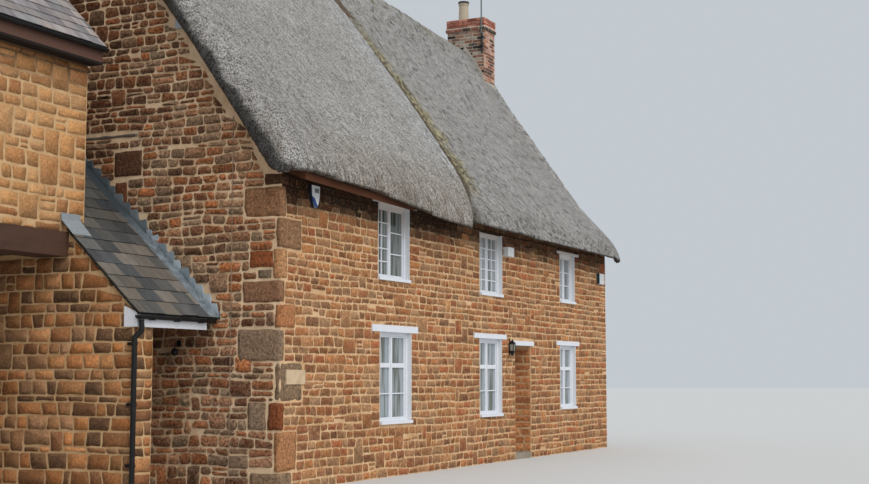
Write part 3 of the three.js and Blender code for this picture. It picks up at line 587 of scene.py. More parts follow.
def hewn_block(pile, low, high, tint, seed, rough):
    """A big hewn stone: a box with rounded edges whose faces are uneven."""
    low, high = Vector(low), Vector(high)
    middle, half = (low + high) / 2, (high - low) / 2
    rounding = min(HEWN_EDGE, 0.45 * min(half))
    inner = half - Vector((rounding,) * 3)
    known, points, faces = {}, [], []

    def point(place):
        key = tuple(round(value, 5) for value in place)
        if key not in known:
            core = Vector([max(-inner[i], min(inner[i], place[i])) for i in range(3)])
            outward = (place - core).normalized()
            at = middle + core + outward * rounding
            bend = noise.noise(at * 5 + Vector((seed, 0, 0)))
            bend += 0.6 * noise.noise(at * 16 + Vector((0, seed, 0)))
            known[key] = len(points)
            points.append(at + outward * rough * bend)
        return known[key]

    for axis in range(3):
        one, two = (axis + 1) % 3, (axis + 2) % 3
        steps = [max(2, math.ceil(2 * half[i] / HEWN_CELL)) for i in (one, two)]
        for sign, i, j in product((-1, 1), range(steps[0]), range(steps[1])):
            ring = []
            for a, b in ((i, j), (i + 1, j), (i + 1, j + 1), (i, j + 1)):
                place = Vector((0, 0, 0))
                place[axis] = sign * half[axis]
                place[one] = half[one] * (2 * a / steps[0] - 1)
                place[two] = half[two] * (2 * b / steps[1] - 1)
                ring.append(point(place))
            faces.append(ring[::sign])
    pile.add(points, faces, tint)


TOUCH = 0.004


def clear_height(holes, middle, low, high):
    """What is left of a course between low and high, over and under the holes that reach over it."""
    for u0, u1, v0, v1 in holes:
        if u0 <= middle <= u1:
            if v0 <= low + TOUCH and v1 >= high - TOUCH:
                return low, low
            if v0 > low + TOUCH:
                high = min(high, v0)
            else:
                low = max(low, v1)
    return low, high


WIDTH_SHARES = (0.7, 1.0, 1.0, 1.3)
MOST_LEAN = 0.018
SPLIT_FROM = 0.11


def lay(pile, wall, style, seed, holes=()):
    """Rough courses of stones over a wall, around its holes."""
    rng = random.Random(seed)
    lines = [0.0]
    while lines[-1] < wall.height:
        lines.append(lines[-1] + rng.uniform(*style.rise))
    holes = list(holes)

    def line(k, u):
        return lines[k] + (style.wave * noise.noise(Vector((u * 1.1, k * 5.3, seed))) if k else 0.0)

    for k, (low, high) in enumerate(zip(lines, lines[1:])):
        near = [hole for hole in holes if hole[2] < high - TOUCH and hole[3] > low + TOUCH]
        ends = {min(max(end, 0.0), wall.length) for hole in near for end in hole[:2]}
        breaks = sorted(ends | {0.0, wall.length})
        for start, stop in zip(breaks, breaks[1:]):
            v0, v1 = clear_height(near, (start + stop) / 2, low, high)
            if v1 - v0 < LEAST or stop - start < LEAST:
                continue
            u, lean = start, 0.0
            while u < stop - 1e-6:
                width = rng.uniform(*style.width) * rng.choice(WIDTH_SHARES)
                if stop - u - width < style.width[0] * 0.7:
                    width = stop - u
                next_lean = 0.0 if u + width >= stop - 1e-6 else rng.uniform(-MOST_LEAN, MOST_LEAN)
                top = v1
                if v1 == high and k + 2 < len(lines) and rng.random() < style.jump:
                    top = lines[k + 2]
                    holes.append((u, u + width, high, top))
                tops = [line(k + 1, end) if top == high else top for end in (u, u + width)]
                feet = [line(k, end) if v0 == low else v0 for end in (u, u + width)]
                spans = [(0.0, 1.0)]
                if top - v0 > SPLIT_FROM and rng.random() < style.split:
                    cut = rng.uniform(0.38, 0.62)
                    spans = [(0.0, cut), (cut, 1.0)]
                for span in spans:
                    place_stone(pile, wall, style, rng, u, width, (lean, next_lean), feet, tops, span)
                u += width
                lean = next_lean


def place_stone(pile, wall, style, rng, u, width, leans, feet, tops, span):
    """One stone of a course, or one span of its height, kept half a joint inside its place."""
    gap = style.joint / 2
    corners = []
    for right, upper in ((0, 0), (1, 0), (1, 1), (0, 1)):
        inward = gap * rng.uniform(0.4, 1.7)
        across = u + right * width + leans[right] * (1 if upper else -1) + (-inward if right else inward)
        height = feet[right] + (tops[right] - feet[right]) * span[upper]
        height += gap * rng.uniform(0.3, 1.8) * (-1 if upper else 1)
        corners.append(Vector((across, height)))
    if cut_to_roof(wall, corners, gap) and drawn_back(wall, corners):
        stone(pile, wall, corners, style, style.tint(*centre(corners), rng), rng)


def drawn_back(wall, corners):
    """Draws a stone's corners back from bare wall, along the course. False if too little is left."""
    middle = centre(corners)
    for corner in corners:
        for _ in range(9):
            if wall.bare(*corner):
                corner.x += 0.25 * (middle.x - corner.x)
        if wall.bare(*corner):
            return False
    return min(corners[1].x - corners[0].x, corners[2].x - corners[3].x) > LEAST / 2


def cut_to_roof(wall, corners, gap):
    """Keeps a stone under a sloping top: it ends where its foot is too near. False if little is left."""
    def beyond(x, foot):
        return wall.top(x) - gap < foot + LEAST / 2

    under = [not beyond(corners[lower].x, corners[lower].y) for lower in (0, 1)]
    if not any(under):
        return False
    for lower, upper, other in ((0, 3, 1), (1, 2, 0)):
        if not under[lower]:
            inside, outside = corners[other].x, corners[lower].x
            for _ in range(10):
                middle = (inside + outside) / 2
                if beyond(middle, corners[lower].y):
                    outside = middle
                else:
                    inside = middle
            corners[lower].x = corners[upper].x = inside
        corners[upper].y = min(corners[upper].y, wall.top(corners[upper].x) - gap)
    rise = max(corners[3].y - corners[0].y, corners[2].y - corners[1].y)
    return rise > LEAST and corners[1].x - corners[0].x > LEAST


# Where the walls and roofs lie
LENGTH, DEPTH = 14.0, 6.5
EAVE_TOP, GABLE_SLOPE, RIDGE_Y = 4.62, 1.30, 3.25
LINK_EAVE_Y, LINK_EAVE_Z, LINK_SLOPE, LINK_RIDGE_Y = 1.04, 2.48, 0.95, 3.85
LINK_THICK, VERGE_THICK, LEAD_UP = 0.15, 0.035, 0.09
WING_FRONT_Y, WING_BACK_Y, WING_RIGHT_X, WING_SIDE_X, WING_LEFT_X = 2.40, 7.2, -1.43, -1.85, -6.0
WING_EAVE_Y, WING_EAVE_Z, WING_SLOPE, WING_RIDGE_Y, WING_THICK = 2.14, 6.33, 1.06, 4.8, 0.19
WING_FRONT_TOP, WING_BACK_TOP = 6.05, 6.4
PASSAGE_EDGE, PASSAGE_TOP, PORCH_FRONT_Y = 0.42, 3.28, 1.15
DOOR_LINTEL, DOOR_REVEAL = 0.09, 0.40
OVER_ALL_GABLES = 8.9
WINDOWS = [f"window_{row}_{n}" for row in ("lower", "upper") for n in (1, 2, 3)]
BACK_WINDOWS = [f"back_window_{row}_{n}" for row in ("lower", "upper") for n in (1, 2)]
FRAME_EDGE = 0.061

# Where the mortar is darker under an eave, with painted shade, and at the front stain too: from, to, the last
# y, and the colour
FRONT_STAIN_AND_SHADE = (4.26, 4.56, DEPTH, (58, 41, 29))
WING_EAVE_SHADE = (5.90, 6.28, WING_FRONT_Y, (112, 84, 60))


def link_top(y):
    return LINK_EAVE_Z + LINK_SLOPE * (min(y, 2 * LINK_RIDGE_Y - y) - LINK_EAVE_Y)


def wing_top(y):
    return WING_EAVE_Z + WING_SLOPE * (min(y, 2 * WING_RIDGE_Y - y) - WING_EAVE_Y)


def gable_top(y):
    return EAVE_TOP + GABLE_SLOPE * min(y, DEPTH - y)


def side_top(y, thick):
    """Under the link's roof, and then under the beam over the passage."""
    return link_top(y) - thick - 0.02 if y < WING_FRONT_Y else PASSAGE_TOP


def pane_of(window):
    return window.replace("window", "glass")


def openings(names, along):
    """What windows and their lintels fill of a wall, from the boxes of the nodes and their panes."""
    found = []
    for name in names:
        low, high = room(name)
        pane_low, pane_high = room(pane_of(name))
        head = pane_high.z + FRAME_EDGE
        sides = along(pane_low.x - FRAME_EDGE), along(pane_high.x + FRAME_EDGE)
        found.append((*sorted(sides), low.z, head))
        if high.z > head + 0.01:
            found.append((*sorted((along(low.x), along(high.x))), head, high.z))
    return found


def toward(tint, share):
    """A tint by this share, and no tint otherwise."""
    return UNTINTED.lerp(Vector(tint), share)


def eave_dirt_and_shade(u, v):
    """Stones under the eave are darker and browner, partly dirt in streaks that run down and partly painted
    shade of the eave.
    """
    streak = noise.noise(Vector((u * 2.3, v * 0.4, 3)))
    return toward((0.14, 0.14, 0.16), ease(v + 0.2 * streak, 3.90, 4.22) * (1.0 if u < 6.0 else 0.75))


def gable_tone(u, v):
    """The gable is darkest high up at the back, and greyer low down near the corner."""
    low = ease(v, 3.6, 1.2) * ease(u, 4.2, 5.6)
    high = ease(v, 4.2, 5.6) * ease(u, 4.6, 2.8)
    return toward((0.93, 0.97, 1.04), low).lerp(Vector((0.52, 0.47, 0.44)), high)


def side_bands(u, v):
    """Bright and dark courses lie in bands."""
    return UNTINTED * (0.92 + 0.55 * noise.noise(Vector((u * 0.5, v * 3.4, 5))))


def wing_eave_shade(u, v):
    """The wing's stones are browner close under its eave: painted shade of the eave, with a streaky edge."""
    streak = noise.noise(Vector((u * 2.3, v * 0.4, 7)))
    return toward((0.50, 0.43, 0.36), ease(v + 0.25 * streak, 5.72, 6.12))


FRONT_COLOURS = [(178, 120, 76), (166, 106, 66), (150, 98, 68), (184, 132, 90), (142, 88, 60), (172, 130, 96),
                 (168, 94, 60), (158, 124, 94), (128, 88, 64)]
GABLE_COLOURS = [(148, 94, 64), (172, 106, 68), (120, 74, 52), (176, 128, 96), (150, 122, 98), (98, 62, 46),
                 (186, 112, 66), (152, 128, 104)]
WING_COLOURS = [(202, 148, 96), (192, 136, 86), (208, 158, 108), (184, 130, 84), (200, 152, 106),
                (204, 150, 98), (166, 110, 70)]
SIDE_COLOURS = [(188, 124, 76), (196, 138, 90), (150, 98, 66), (112, 82, 62), (170, 128, 94), (104, 76, 58),
                (180, 116, 68)]
DOOR_COLOURS = [(206, 132, 84), (182, 114, 74), (220, 148, 98)]

FRONT_MASONRY = Masonry(
    rise=(0.105, 0.155), width=(0.19, 0.33), joint=0.016, proud=(0.005, 0.015), round_off=0.020,
    wave=0.034, split=0.03, jump=0.03, colours=FRONT_COLOURS, spread=0.25, rim=(216, 176, 132),
    under=0.50, shade=eave_dirt_and_shade)
GABLE_MASONRY = Masonry(
    rise=(0.095, 0.170), width=(0.18, 0.34), joint=0.016, proud=(0.010, 0.032), round_off=0.026,
    wave=0.060, split=0.05, jump=0.03, colours=GABLE_COLOURS, spread=0.36, rim=(206, 172, 136),
    under=0.80, shade=gable_tone)
WING_MASONRY = Masonry(
    rise=(0.14, 0.23), width=(0.24, 0.42), joint=0.020, proud=(0.003, 0.009), round_off=0.022,
    wave=0.022, split=0.08, jump=0.10, colours=WING_COLOURS, spread=0.14, rim=(212, 174, 130), under=0.35)
WING_FRONT_MASONRY = replace(WING_MASONRY, shade=wing_eave_shade)
SIDE_MASONRY = Masonry(
    rise=(0.085, 0.24), width=(0.18, 0.38), joint=0.016, proud=(0.005, 0.016), round_off=0.018,
    wave=0.026, split=0.06, jump=0.05, colours=SIDE_COLOURS, spread=0.28, rim=(184, 144, 104),
    under=0.65, shade=side_bands)
DOOR_MASONRY = Masonry(
    rise=(0.11, 0.17), width=(0.20, 0.34), joint=0.020, proud=(0.003, 0.008), round_off=0.020, wave=0.010,
    split=0.0, jump=0.0, colours=DOOR_COLOURS, spread=0.14, rim=(224, 178, 130), under=0.3)
BACK_MASONRY = Masonry(
    rise=(0.11, 0.17), width=(0.20, 0.42), joint=0.018, proud=(0.007, 0.018), round_off=0.030, wave=0.030,
    split=0.05, jump=0.03, colours=FRONT_COLOURS, spread=0.22, rim=(190, 152, 112), under=0.5)
FAR_MASONRY = replace(BACK_MASONRY, colours=GABLE_COLOURS)


def stonework(name, finish, slot, smooth, *jobs):
    """One piece of the stones of several walls. Each job is a wall, its masonry, its seed and any holes."""
    pile = Pile()
    for job in jobs:
        lay(pile, *job)
    pile.piece(name, finish, slot, smooth)


def front_stones(finish):
    step_low, step_high = room("doorstep")
    lintel_low, lintel_high = room("door_frame")
    plaque_low, plaque_high = room("name_plaque")
    under_lintel = lintel_high.z - DOOR_LINTEL
    holes = openings(WINDOWS, lambda x: x)
    holes.append((step_low.x, step_high.x, 0.0, lintel_high.z))
    holes.append((lintel_low.x, lintel_high.x, under_lintel, lintel_high.z))
    holes.append((plaque_low.x, plaque_high.x, plaque_low.z, plaque_high.z))
    wall = Wall((0, 0), (0, -1), LENGTH, EAVE_TOP)
    right = Wall((step_high.x, DOOR_REVEAL), (-1, 0), DOOR_REVEAL, under_lintel)
    left = Wall((step_low.x, 0), (1, 0), DOOR_REVEAL, under_lintel)
    step = [(0, DOOR_REVEAL, 0, step_high.z)]
    stonework("front_stones", finish, "ironstone", False, (wall, FRONT_MASONRY, 11, holes + NEAR_QUOIN_FRONT),
              (right, DOOR_MASONRY, 13, step), (left, DOOR_MASONRY, 17, step))


def gable_stones(finish):
    def under_link(u, v):
        y = DEPTH - u
        return LINK_EAVE_Y - 0.02 < y and link_top(y) - LINK_THICK - 0.01 < v < link_top(y) + LEAD_UP - 0.03

    def verge(u):
        """Below the eave end of the verge a strip of bare mortar is left, of uneven width."""
        bare = 0.26 * ease(u, 3.6, 5.4) * (1 + noise.noise(Vector((u * 3.0, 0, 9))))
        return gable_top(DEPTH - u) - 0.04 - bare

    wall = Wall((0, DEPTH), (-1, 0), DEPTH, OVER_ALL_GABLES, verge, under_link)
    stonework("near_gable_stones", finish, "dark_ironstone", False,
              (wall, GABLE_MASONRY, 23, NEAR_QUOIN_SIDE + GABLE_BLOCK_HOLES))


# Quoins of the near corner: foot, head, how far it reaches along the front, and along the gable
NEAR_QUOINS = [
    (0.00, 0.27, 0.34, 0.50, (142, 118, 94)), (0.27, 0.85, 0.45, 0.10, (180, 128, 88)),
    (0.85, 1.26, 0.10, 0.20, (134, 76, 46)), (1.26, 1.83, 0.60, 0.10, (142, 118, 94)),
    (1.83, 2.31, 0.10, 0.73, (148, 124, 102)), (2.31, 2.67, 0.38, 0.10, (184, 126, 84)),
    (2.67, 3.01, 0.10, 0.66, (146, 108, 82)), (3.01, 3.46, 0.16, 0.14, (188, 140, 98)),
    (3.46, 3.91, 0.54, 0.09, (150, 114, 84)), (3.91, 4.37, 0.12, 0.65, (152, 112, 82)),
    (4.37, 4.56, 0.20, 0.30, (86, 60, 44)),
]
NEAR_QUOIN_FRONT = [(0.0, front, low, high) for low, high, front, side, colour in NEAR_QUOINS]
NEAR_QUOIN_SIDE = [(DEPTH - side, DEPTH, low, high) for low, high, front, side, colour in NEAR_QUOINS]

# Big single stones in the gable: near and far edge from the front corner, foot, head, colour
GABLE_BLOCKS = [
    (2.51, 3.04, 4.66, 5.07, (98, 66, 48)), (0.22, 0.54, 0.85, 1.26, (150, 126, 104)),
    (0.52, 0.86, 0.30, 0.50, (146, 122, 100)), (0.12, 0.54, 3.18, 3.44, (150, 86, 52)),
    (2.78, 3.02, 4.22, 4.60, (112, 70, 48)), (0.15, 0.40, 3.02, 3.17, (128, 112, 92)),
    (2.60, 3.65, 5.27, 5.34, (112, 104, 96)),
]
GABLE_BLOCK_HOLES = [(DEPTH - far, DEPTH - near, low, high) for near, far, low, high, colour in GABLE_BLOCKS]
JOINT = 0.011
BLOCK_PROUD, BLOCK_DEEP, BLOCK_ROUGH = 0.018, 0.04, 0.014


def near_quoins(finish):
    """The corner's quoins, one of which lies flat behind the plaque, and the gable's big stones."""
    pile = Pile()
    plaque = room("name_plaque")[0].z
    for number, (low, high, front, side, colour) in enumerate(NEAR_QUOINS):
        flat = low < plaque < high
        proud = 0.006 if flat else 0.014 + 0.004 * (number % 3)
        hewn_block(pile, (-proud, -proud, low + JOINT), (front - JOINT, side - JOINT, high - JOINT),
                   paint(*colour), number * 7.3, 0.006 if flat else 0.016)
    for number, (near, far, low, high, colour) in enumerate(GABLE_BLOCKS):
        hewn_block(pile, (-BLOCK_PROUD, near + JOINT, low + JOINT), (BLOCK_DEEP, far - JOINT, high - JOINT),
                   paint(*colour), 90 + number * 3.1, BLOCK_ROUGH)
    pile.piece("near_quoins", finish, "dark_ironstone", True)


def back_stones(finish):
    back = Wall((LENGTH, DEPTH), (0, 1), LENGTH, EAVE_TOP)
    far = Wall((LENGTH, 0), (1, 0), DEPTH, OVER_ALL_GABLES, lambda u: gable_top(u) - 0.05)
    holes = openings(BACK_WINDOWS, lambda x: LENGTH - x)
    stonework("back_stones", finish, "ironstone", True, (back, BACK_MASONRY, 31, holes),
              (far, FAR_MASONRY, 37))


def wing_stones(finish):
    """The wing's own walls: they stop at the passage and the roof, and are bare behind the link's roof."""
    wide, deep = WING_RIGHT_X - WING_LEFT_X, WING_BACK_Y - WING_FRONT_Y
    pier = WING_SIDE_X - WING_LEFT_X
    passage = (PASSAGE_EDGE, pier, 0.0, room("wing_front_beam")[1].z)
    link_roof = (pier - 0.06, pier + 0.5, 0.0, link_top(WING_FRONT_Y) + 0.02)

    def under_roof(y):
        return wing_top(y) - WING_THICK - 0.01

    def behind_link(u, v):
        roof = link_top(WING_FRONT_Y + u)
        return roof - LINK_THICK - 0.01 < v < roof + 0.05

    front = Wall((WING_LEFT_X, WING_FRONT_Y), (0, -1), wide, WING_FRONT_TOP)
    back = Wall((WING_RIGHT_X, WING_BACK_Y), (0, 1), wide, WING_BACK_TOP)
    right = Wall((WING_RIGHT_X, WING_FRONT_Y), (1, 0), deep, OVER_ALL_GABLES,
                 lambda u: under_roof(WING_FRONT_Y + u), behind_link)
    left = Wall((WING_LEFT_X, WING_BACK_Y), (-1, 0), deep, OVER_ALL_GABLES,
                lambda u: under_roof(WING_BACK_Y - u))
    stonework("wing_stones", finish, "wing_stone", True,
              (front, WING_FRONT_MASONRY, 41, [passage, link_roof]), (back, WING_MASONRY, 43, [passage]),
              (right, WING_MASONRY, 47), (left, WING_MASONRY, 53))


def porch_stones(finish):
    """The wall between the passage and the way under the link: its two sides and its front end."""
    passage = Wall((WING_SIDE_X, WING_BACK_Y), (-1, 0), WING_BACK_Y - PORCH_FRONT_Y, 3.75,
                   lambda u: side_top(WING_BACK_Y - u, VERGE_THICK))
    end = Wall((WING_SIDE_X, PORCH_FRONT_Y), (0, -1), WING_RIGHT_X - WING_SIDE_X, 2.50)
    inner = Wall((WING_RIGHT_X, PORCH_FRONT_Y), (1, 0), WING_FRONT_Y - PORCH_FRONT_Y, 3.6,
                 lambda u: side_top(PORCH_FRONT_Y + u, LINK_THICK))
    stonework("porch_wall_stones", finish, "wing_stone", True, (passage, SIDE_MASONRY, 59),
              (end, SIDE_MASONRY, 61), (inner, SIDE_MASONRY, 67))


# The chimney's bricks
BRICK_LONG, BRICK_HIGH, BRICK_JOINT = 0.215, 0.065, 0.011
BRICK_TOP = [(184, 120, 102), (172, 108, 90), (190, 130, 112), (156, 92, 76)]
BRICK_BAND = [(146, 92, 76), (112, 78, 68), (82, 66, 60)]
BRICK_WEATHER = [(156, 132, 116), (124, 100, 88), (170, 128, 108), (62, 54, 50), (176, 164, 148),
                 (146, 104, 86)]
BRICK_FRONT = [(174, 116, 92), (206, 160, 140), (138, 92, 74), (192, 156, 138), (104, 78, 68)]
TOP_COURSES, TOP_GROW, BAND_GROW = 3, 0.018, 0.038
HEAD_OUT = 0.04


def stack():
    """The stack's lowest and highest corners, without what its head stands out."""
    low, high = room("chimney_stack")
    inset = Vector((HEAD_OUT, HEAD_OUT, 0))
    return low + inset, high - inset


def stack_sides(low, high, grow):
    """Each face of the stack: which way it looks, where it starts, and how long it is."""
    x0, x1, y0, y1 = low.x - grow, high.x + grow, low.y - grow, high.y + grow
    return [((-1, 0), (x0, y1), y1 - y0), ((1, 0), (x1, y0), y1 - y0),
            ((0, -1), (x0, y0), x1 - x0), ((0, 1), (x1, y1), x1 - x0)]


def chimney_bricks(finish):
    """Courses of bricks: three at the top, a band that stands out under them, and the weathered shaft."""
    rng = random.Random(71)
    pile = Pile()
    low, high = stack()
    pitch = BRICK_HIGH + BRICK_JOINT
    for course in range(int((high.z - low.z) / pitch)):
        z = high.z - (course + 1) * pitch
        grow = TOP_GROW if course < TOP_COURSES else BAND_GROW if course == TOP_COURSES else 0.0
        for out, start, length in stack_sides(low, high, grow):
            wall = Wall(start, out, length, 1)
            colours = BRICK_FRONT if out[1] else BRICK_WEATHER
            if course <= TOP_COURSES:
                colours = BRICK_TOP if course < TOP_COURSES else BRICK_BAND
            u = 0.0
            width = BRICK_LONG if course % 2 else (BRICK_LONG - BRICK_JOINT) / 2
            while u < length - 0.03:
                end = min(u + width, length)
                tint = tuple(Vector(paint(*rng.choice(colours))) * rng.uniform(0.74, 1.18))
                proud = 0.004 + rng.uniform(0, 0.002)
                block(pile, (u, z, -0.03), (end, z + BRICK_HIGH, proud), 0.004, tint, rng, 0.002,
                      lambda p, wall=wall: wall.at(p.x, p.y, p.z))
                u = end + BRICK_JOINT
                width = BRICK_LONG
    pile.piece("chimney_bricks", finish, "brick")


FILLET_OUT, FILLET_HIGH, FILLET_DEEP, FILLET_STEPS = 0.035, 0.11, 0.06, 8
CEMENT = (178, 172, 162)


def chimney_fillet(finish):
    """A pale cement fillet where the stack stands out of the thatch, stepping up to the ridge."""
    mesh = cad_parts["thatch_far"].data
    faces = [face.vertices for face in mesh.polygons]
    thatch = BVHTree.FromPolygons([vertex.co for vertex in mesh.vertices], faces)
    low, high = stack()

    def thatch_top(x, y):
        return thatch.ray_cast(HOUSE + Vector((x, y, high.z)), -UP)[0].z

    pile = Pile()
    cement = paint(*CEMENT)
    for x, side in ((low.x, -1), (high.x, 1)):
        xs = sorted((x, x + side * FILLET_OUT))
        for step in range(FILLET_STEPS):
            y0, y1 = (low.y + (high.y - low.y) * (step + share) / FILLET_STEPS for share in (0, 1))
            z0, z1 = (thatch_top(x + side * 0.06, y) for y in (y0, y1))
            foot = [(y0, z0 - FILLET_DEEP), (y1, z1 - FILLET_DEEP)]
            head = [(y1, z1 + FILLET_HIGH), (y0, z0 + FILLET_HIGH)]
            prism(pile, foot + head, xs[1], xs[0], cement)
    for y, side in ((low.y, -1), (high.y, 1)):
        z = thatch_top((low.x + high.x) / 2, y + side * 0.06)
        ys = sorted((y, y + side * FILLET_OUT))
        block(pile, (low.x - FILLET_OUT, ys[0], z - FILLET_DEEP),
              (high.x + FILLET_OUT, ys[1], z + FILLET_HIGH), 0.01, cement)
    pile.piece("chimney_fillet", finish, "brick")


# Slates. Of a roof: its eave in Y and Z, its slope, its ridge in Y, and the slates' gauge and width
LINK_ROOF = LINK_EAVE_Y, LINK_EAVE_Z, LINK_SLOPE, LINK_RIDGE_Y, 0.26, 0.38
WING_ROOF = WING_EAVE_Y, WING_EAVE_Z, WING_SLOPE, WING_RIDGE_Y, 0.20, 0.25
LINK_SLATES = [(104, 99, 93), (86, 87, 87), (110, 103, 95), (78, 82, 87), (128, 122, 115), (66, 69, 72)]
WING_SLATES = [(148, 140, 140), (136, 130, 134), (130, 128, 130), (154, 144, 140)]
SLATE_THICK, SLATE_GAP, SLATE_OVER = 0.014, 0.002, 0.02
LEAD_ON_ROOF = 0.28
VERGE_OUT = 0.06


def link_damp_and_shade(z):
    """The link's slates are darker and bluer high up, between the two houses: partly damp, partly painted
    shade.
    """
    return toward((0.36, 0.41, 0.45), ease(z, 3.4, 4.2))


def slates(pile, roof, left, right, colours, rng, facing, damp_and_shade=None):
    """Courses of slates up one side of a roof. facing is 1 at the front and -1 at the back."""
    eave_y, eave_z, slope, ridge_y, gauge, width = roof
    steep = math.hypot(1, slope)
    length = abs(ridge_y - eave_y) * steep
    first_y = eave_y if facing > 0 else 2 * ridge_y - eave_y
    ahead = Vector((0, facing / steep, slope / steep))
    normal = Vector((0, -facing * slope / steep, 1 / steep))
    start = Vector((0, first_y, eave_z)) - ahead * SLATE_OVER
    course = 0
    along = 0.0
    while along < length:
        y = first_y + facing * along / steep
        x = left(y) - (0 if course % 2 else width / 2)
        while x < right:
            a, b = max(x, left(y)) + SLATE_GAP, min(x + width, right) - SLATE_GAP
            if b - a > 0.03 - 2 * SLATE_GAP:
                tail = rng.uniform(0.020, 0.027)
                reach = min(along + gauge * 1.5, length)
                slip = rng.uniform(-0.006, 0.006)
                tint = Vector(paint(*rng.choice(colours))) * rng.uniform(0.78, 1.26)
                # Darker high up: partly damp, partly painted shade.
                if damp_and_shade:
                    tint = tint * damp_and_shade(eave_z + slope * abs(y - first_y))
                corners = [(a, along + slip, tail), (b, along + slip + rng.uniform(-0.003, 0.003), tail),
                           (b, reach, 0.005), (a, reach, 0.005)]
                top = [start + Vector((u, 0, 0)) + ahead * s + normal * n for u, s, n in corners]
                foot = [point - normal * SLATE_THICK for point in top]
                # The underside points are tinted near black: a painted shadow line along each slate's tail.
                between(pile, foot, top, [tuple(tint * 0.12)] * 4 + [tuple(tint)] * 4, facing < 0)
            x += width
        along += gauge
        course += 1


def link_left(y):
    """The link's slates reach past the porch's wall, then to it, and then to the wing."""
    if y < WING_FRONT_Y - 0.12:
        return WING_SIDE_X - 0.05
    return WING_SIDE_X if y < WING_FRONT_Y - 0.02 else WING_RIGHT_X + 0.01


def roof_slates(finish):
    rng = random.Random(83)
    link, wing = Pile(), Pile()
    slates(link, LINK_ROOF, link_left, -LEAD_ON_ROOF, LINK_SLATES, rng, 1, link_damp_and_shade)
    slates(link, LINK_ROOF, lambda y: WING_RIGHT_X + 0.01, -LEAD_ON_ROOF, LINK_SLATES, rng, -1)
    link.piece("link_slates", finish, "slate")
    left, right = WING_LEFT_X - VERGE_OUT, WING_RIGHT_X + VERGE_OUT
    for facing in (1, -1):
        slates(wing, WING_ROOF, lambda y: left, right, WING_SLATES, rng, facing)
    wing.piece("wing_slates", finish, "slate")


# The thatch is the CAD's own form made finer, combed, and tinted by where it lies
SEAM_FOOT, SEAM_MIDDLE, SEAM_HEAD = 5.56, 5.935, 5.27
SEAM_BEND = 2 * SEAM_MIDDLE - (SEAM_FOOT + SEAM_HEAD) / 2
EAVE_OUT = 0.5
EAVE_HANG = 0.12
WELD = 0.0005
# The underside tint is painted shade on faces that look down; the verge's dark butt ends are partly painted
# shade, and the pale edge is a painted highlight along the seam.
UNDERSIDE_SHADE = (0.30, 0.25, 0.21)
BUTT_ENDS_AND_SHADE = (0.20, 0.20, 0.20)
SEAM_HIGHLIGHT = (1.06, 1.10, 1.16)
NEWER_STRAW, LOW_STRAW, CORNER_STRAW = (0.91, 0.91, 0.90), (0.85, 0.80, 0.75), (0.82, 0.81, 0.80)
# Dark moss also paints the shadow line behind the step, and damp straw also the shadow at the seam's foot.
MOSS, DARK_MOSS_AND_SHADOW, RIDGE_MOSS = (1.12, 1.02, 0.64), (0.30, 0.24, 0.15), (0.80, 0.78, 0.62)
DAMP_STRAW_AND_SHADOW, RIDGE_BAND = (0.42, 0.39, 0.35), (0.42, 0.31, 0.24)


def up_slope(y):
    """How far up the slope a place is, from the eave at 0 to the ridge at 1."""
    return (min(y, 2 * RIDGE_Y - y) + EAVE_OUT) / (RIDGE_Y + EAVE_OUT)


def seam_x(y):
    """Where the newer thatch ends, from the eave to the ridge."""
    share = up_slope(y)
    return (1 - share) ** 2 * SEAM_FOOT + 2 * share * (1 - share) * SEAM_BEND + share ** 2 * SEAM_HEAD


def step_reach(y):
    """How far the step at the seam shelters the older thatch behind it, which is most at mid height."""
    up = max(0.0, min(1.0, up_slope(y)))
    return ease(up, 0.0, 0.15) * (0.62 + 0.42 * math.sin(math.pi * up) ** 1.5 - 0.29 * up)


def newer_layers(at, beyond, patch):
    """A painted highlight along the seam, browner at the eave, duller at the corner, and dark ends of straw
    at the verge, deepened with painted shade.
    """
    # The pale edge is a painted highlight along the seam.
    edge = 0.35 * ease(beyond, -1.2, -0.2) + 0.65 * ease(beyond, -0.16, -0.08)
    above = at.z - gable_top(at.y)
    # The verge's dark straw ends are partly painted shade.
    verge = ease(at.x, 0.10, -0.12) * ease(above + 0.10 * patch, 0.42, 0.30)
    return [(NEWER_STRAW, 1.0), (SEAM_HIGHLIGHT, edge), (LOW_STRAW, ease(at.z, 5.7, 4.7)),
            (CORNER_STRAW, ease(at.x, 1.5, 0.0)), (BUTT_ENDS_AND_SHADE, verge)]


def older_layers(at, beyond, patch):
    """Moss and a painted shadow line behind the step, painted shadow at the seam's foot and damp spots low
    down, a brown band high up, and a mossy ridge.
    """
    past = beyond - step_reach(at.y)
    dots = noise.noise(at * 19.0)
    moss = ease(past + 0.30 * patch + 0.25 * dots, 0.66, 0.30) * ease(at.z, 4.8, 5.3) * ease(at.z, 9.2, 8.0)
    # Moss in pale specks and dark patches, the dark ones partly painted shade.
    mossy = Vector(MOSS).lerp(Vector(DARK_MOSS_AND_SHADOW), ease(noise.noise(at * 13.0) + 1.2 * dots, -0.1, 0.15))
    # A painted shadow line where the step ends.
    line = ease(past + 0.06 * dots, 0.08, -0.02) * ease(past, -0.30, -0.15)
    # Painted shadow at the seam's foot, in front of the older thatch.
    foot = ease(up_slope(at.y), 0.34, 0.12) * ease(beyond + 0.25 * dots, 0.60, 0.15)
    spots = ease(at.z, 5.1, 4.5) * ease(dots, 0.12, 0.32)
    band = ease(past + 0.1 * patch, 0.4, 0.3) * ease(at.z, 8.55, 8.65) * ease(at.z, 9.2, 9.1)
    crest = ease(at.z, 9.1, 9.5) * ease(patch, 0.0, 0.4)
    return [(mossy, 0.9 * moss), (DARK_MOSS_AND_SHADOW, 0.9 * line), (DAMP_STRAW_AND_SHADOW, foot), (DAMP_STRAW_AND_SHADOW, spots),
            (RIDGE_BAND, band), (RIDGE_MOSS, crest)]


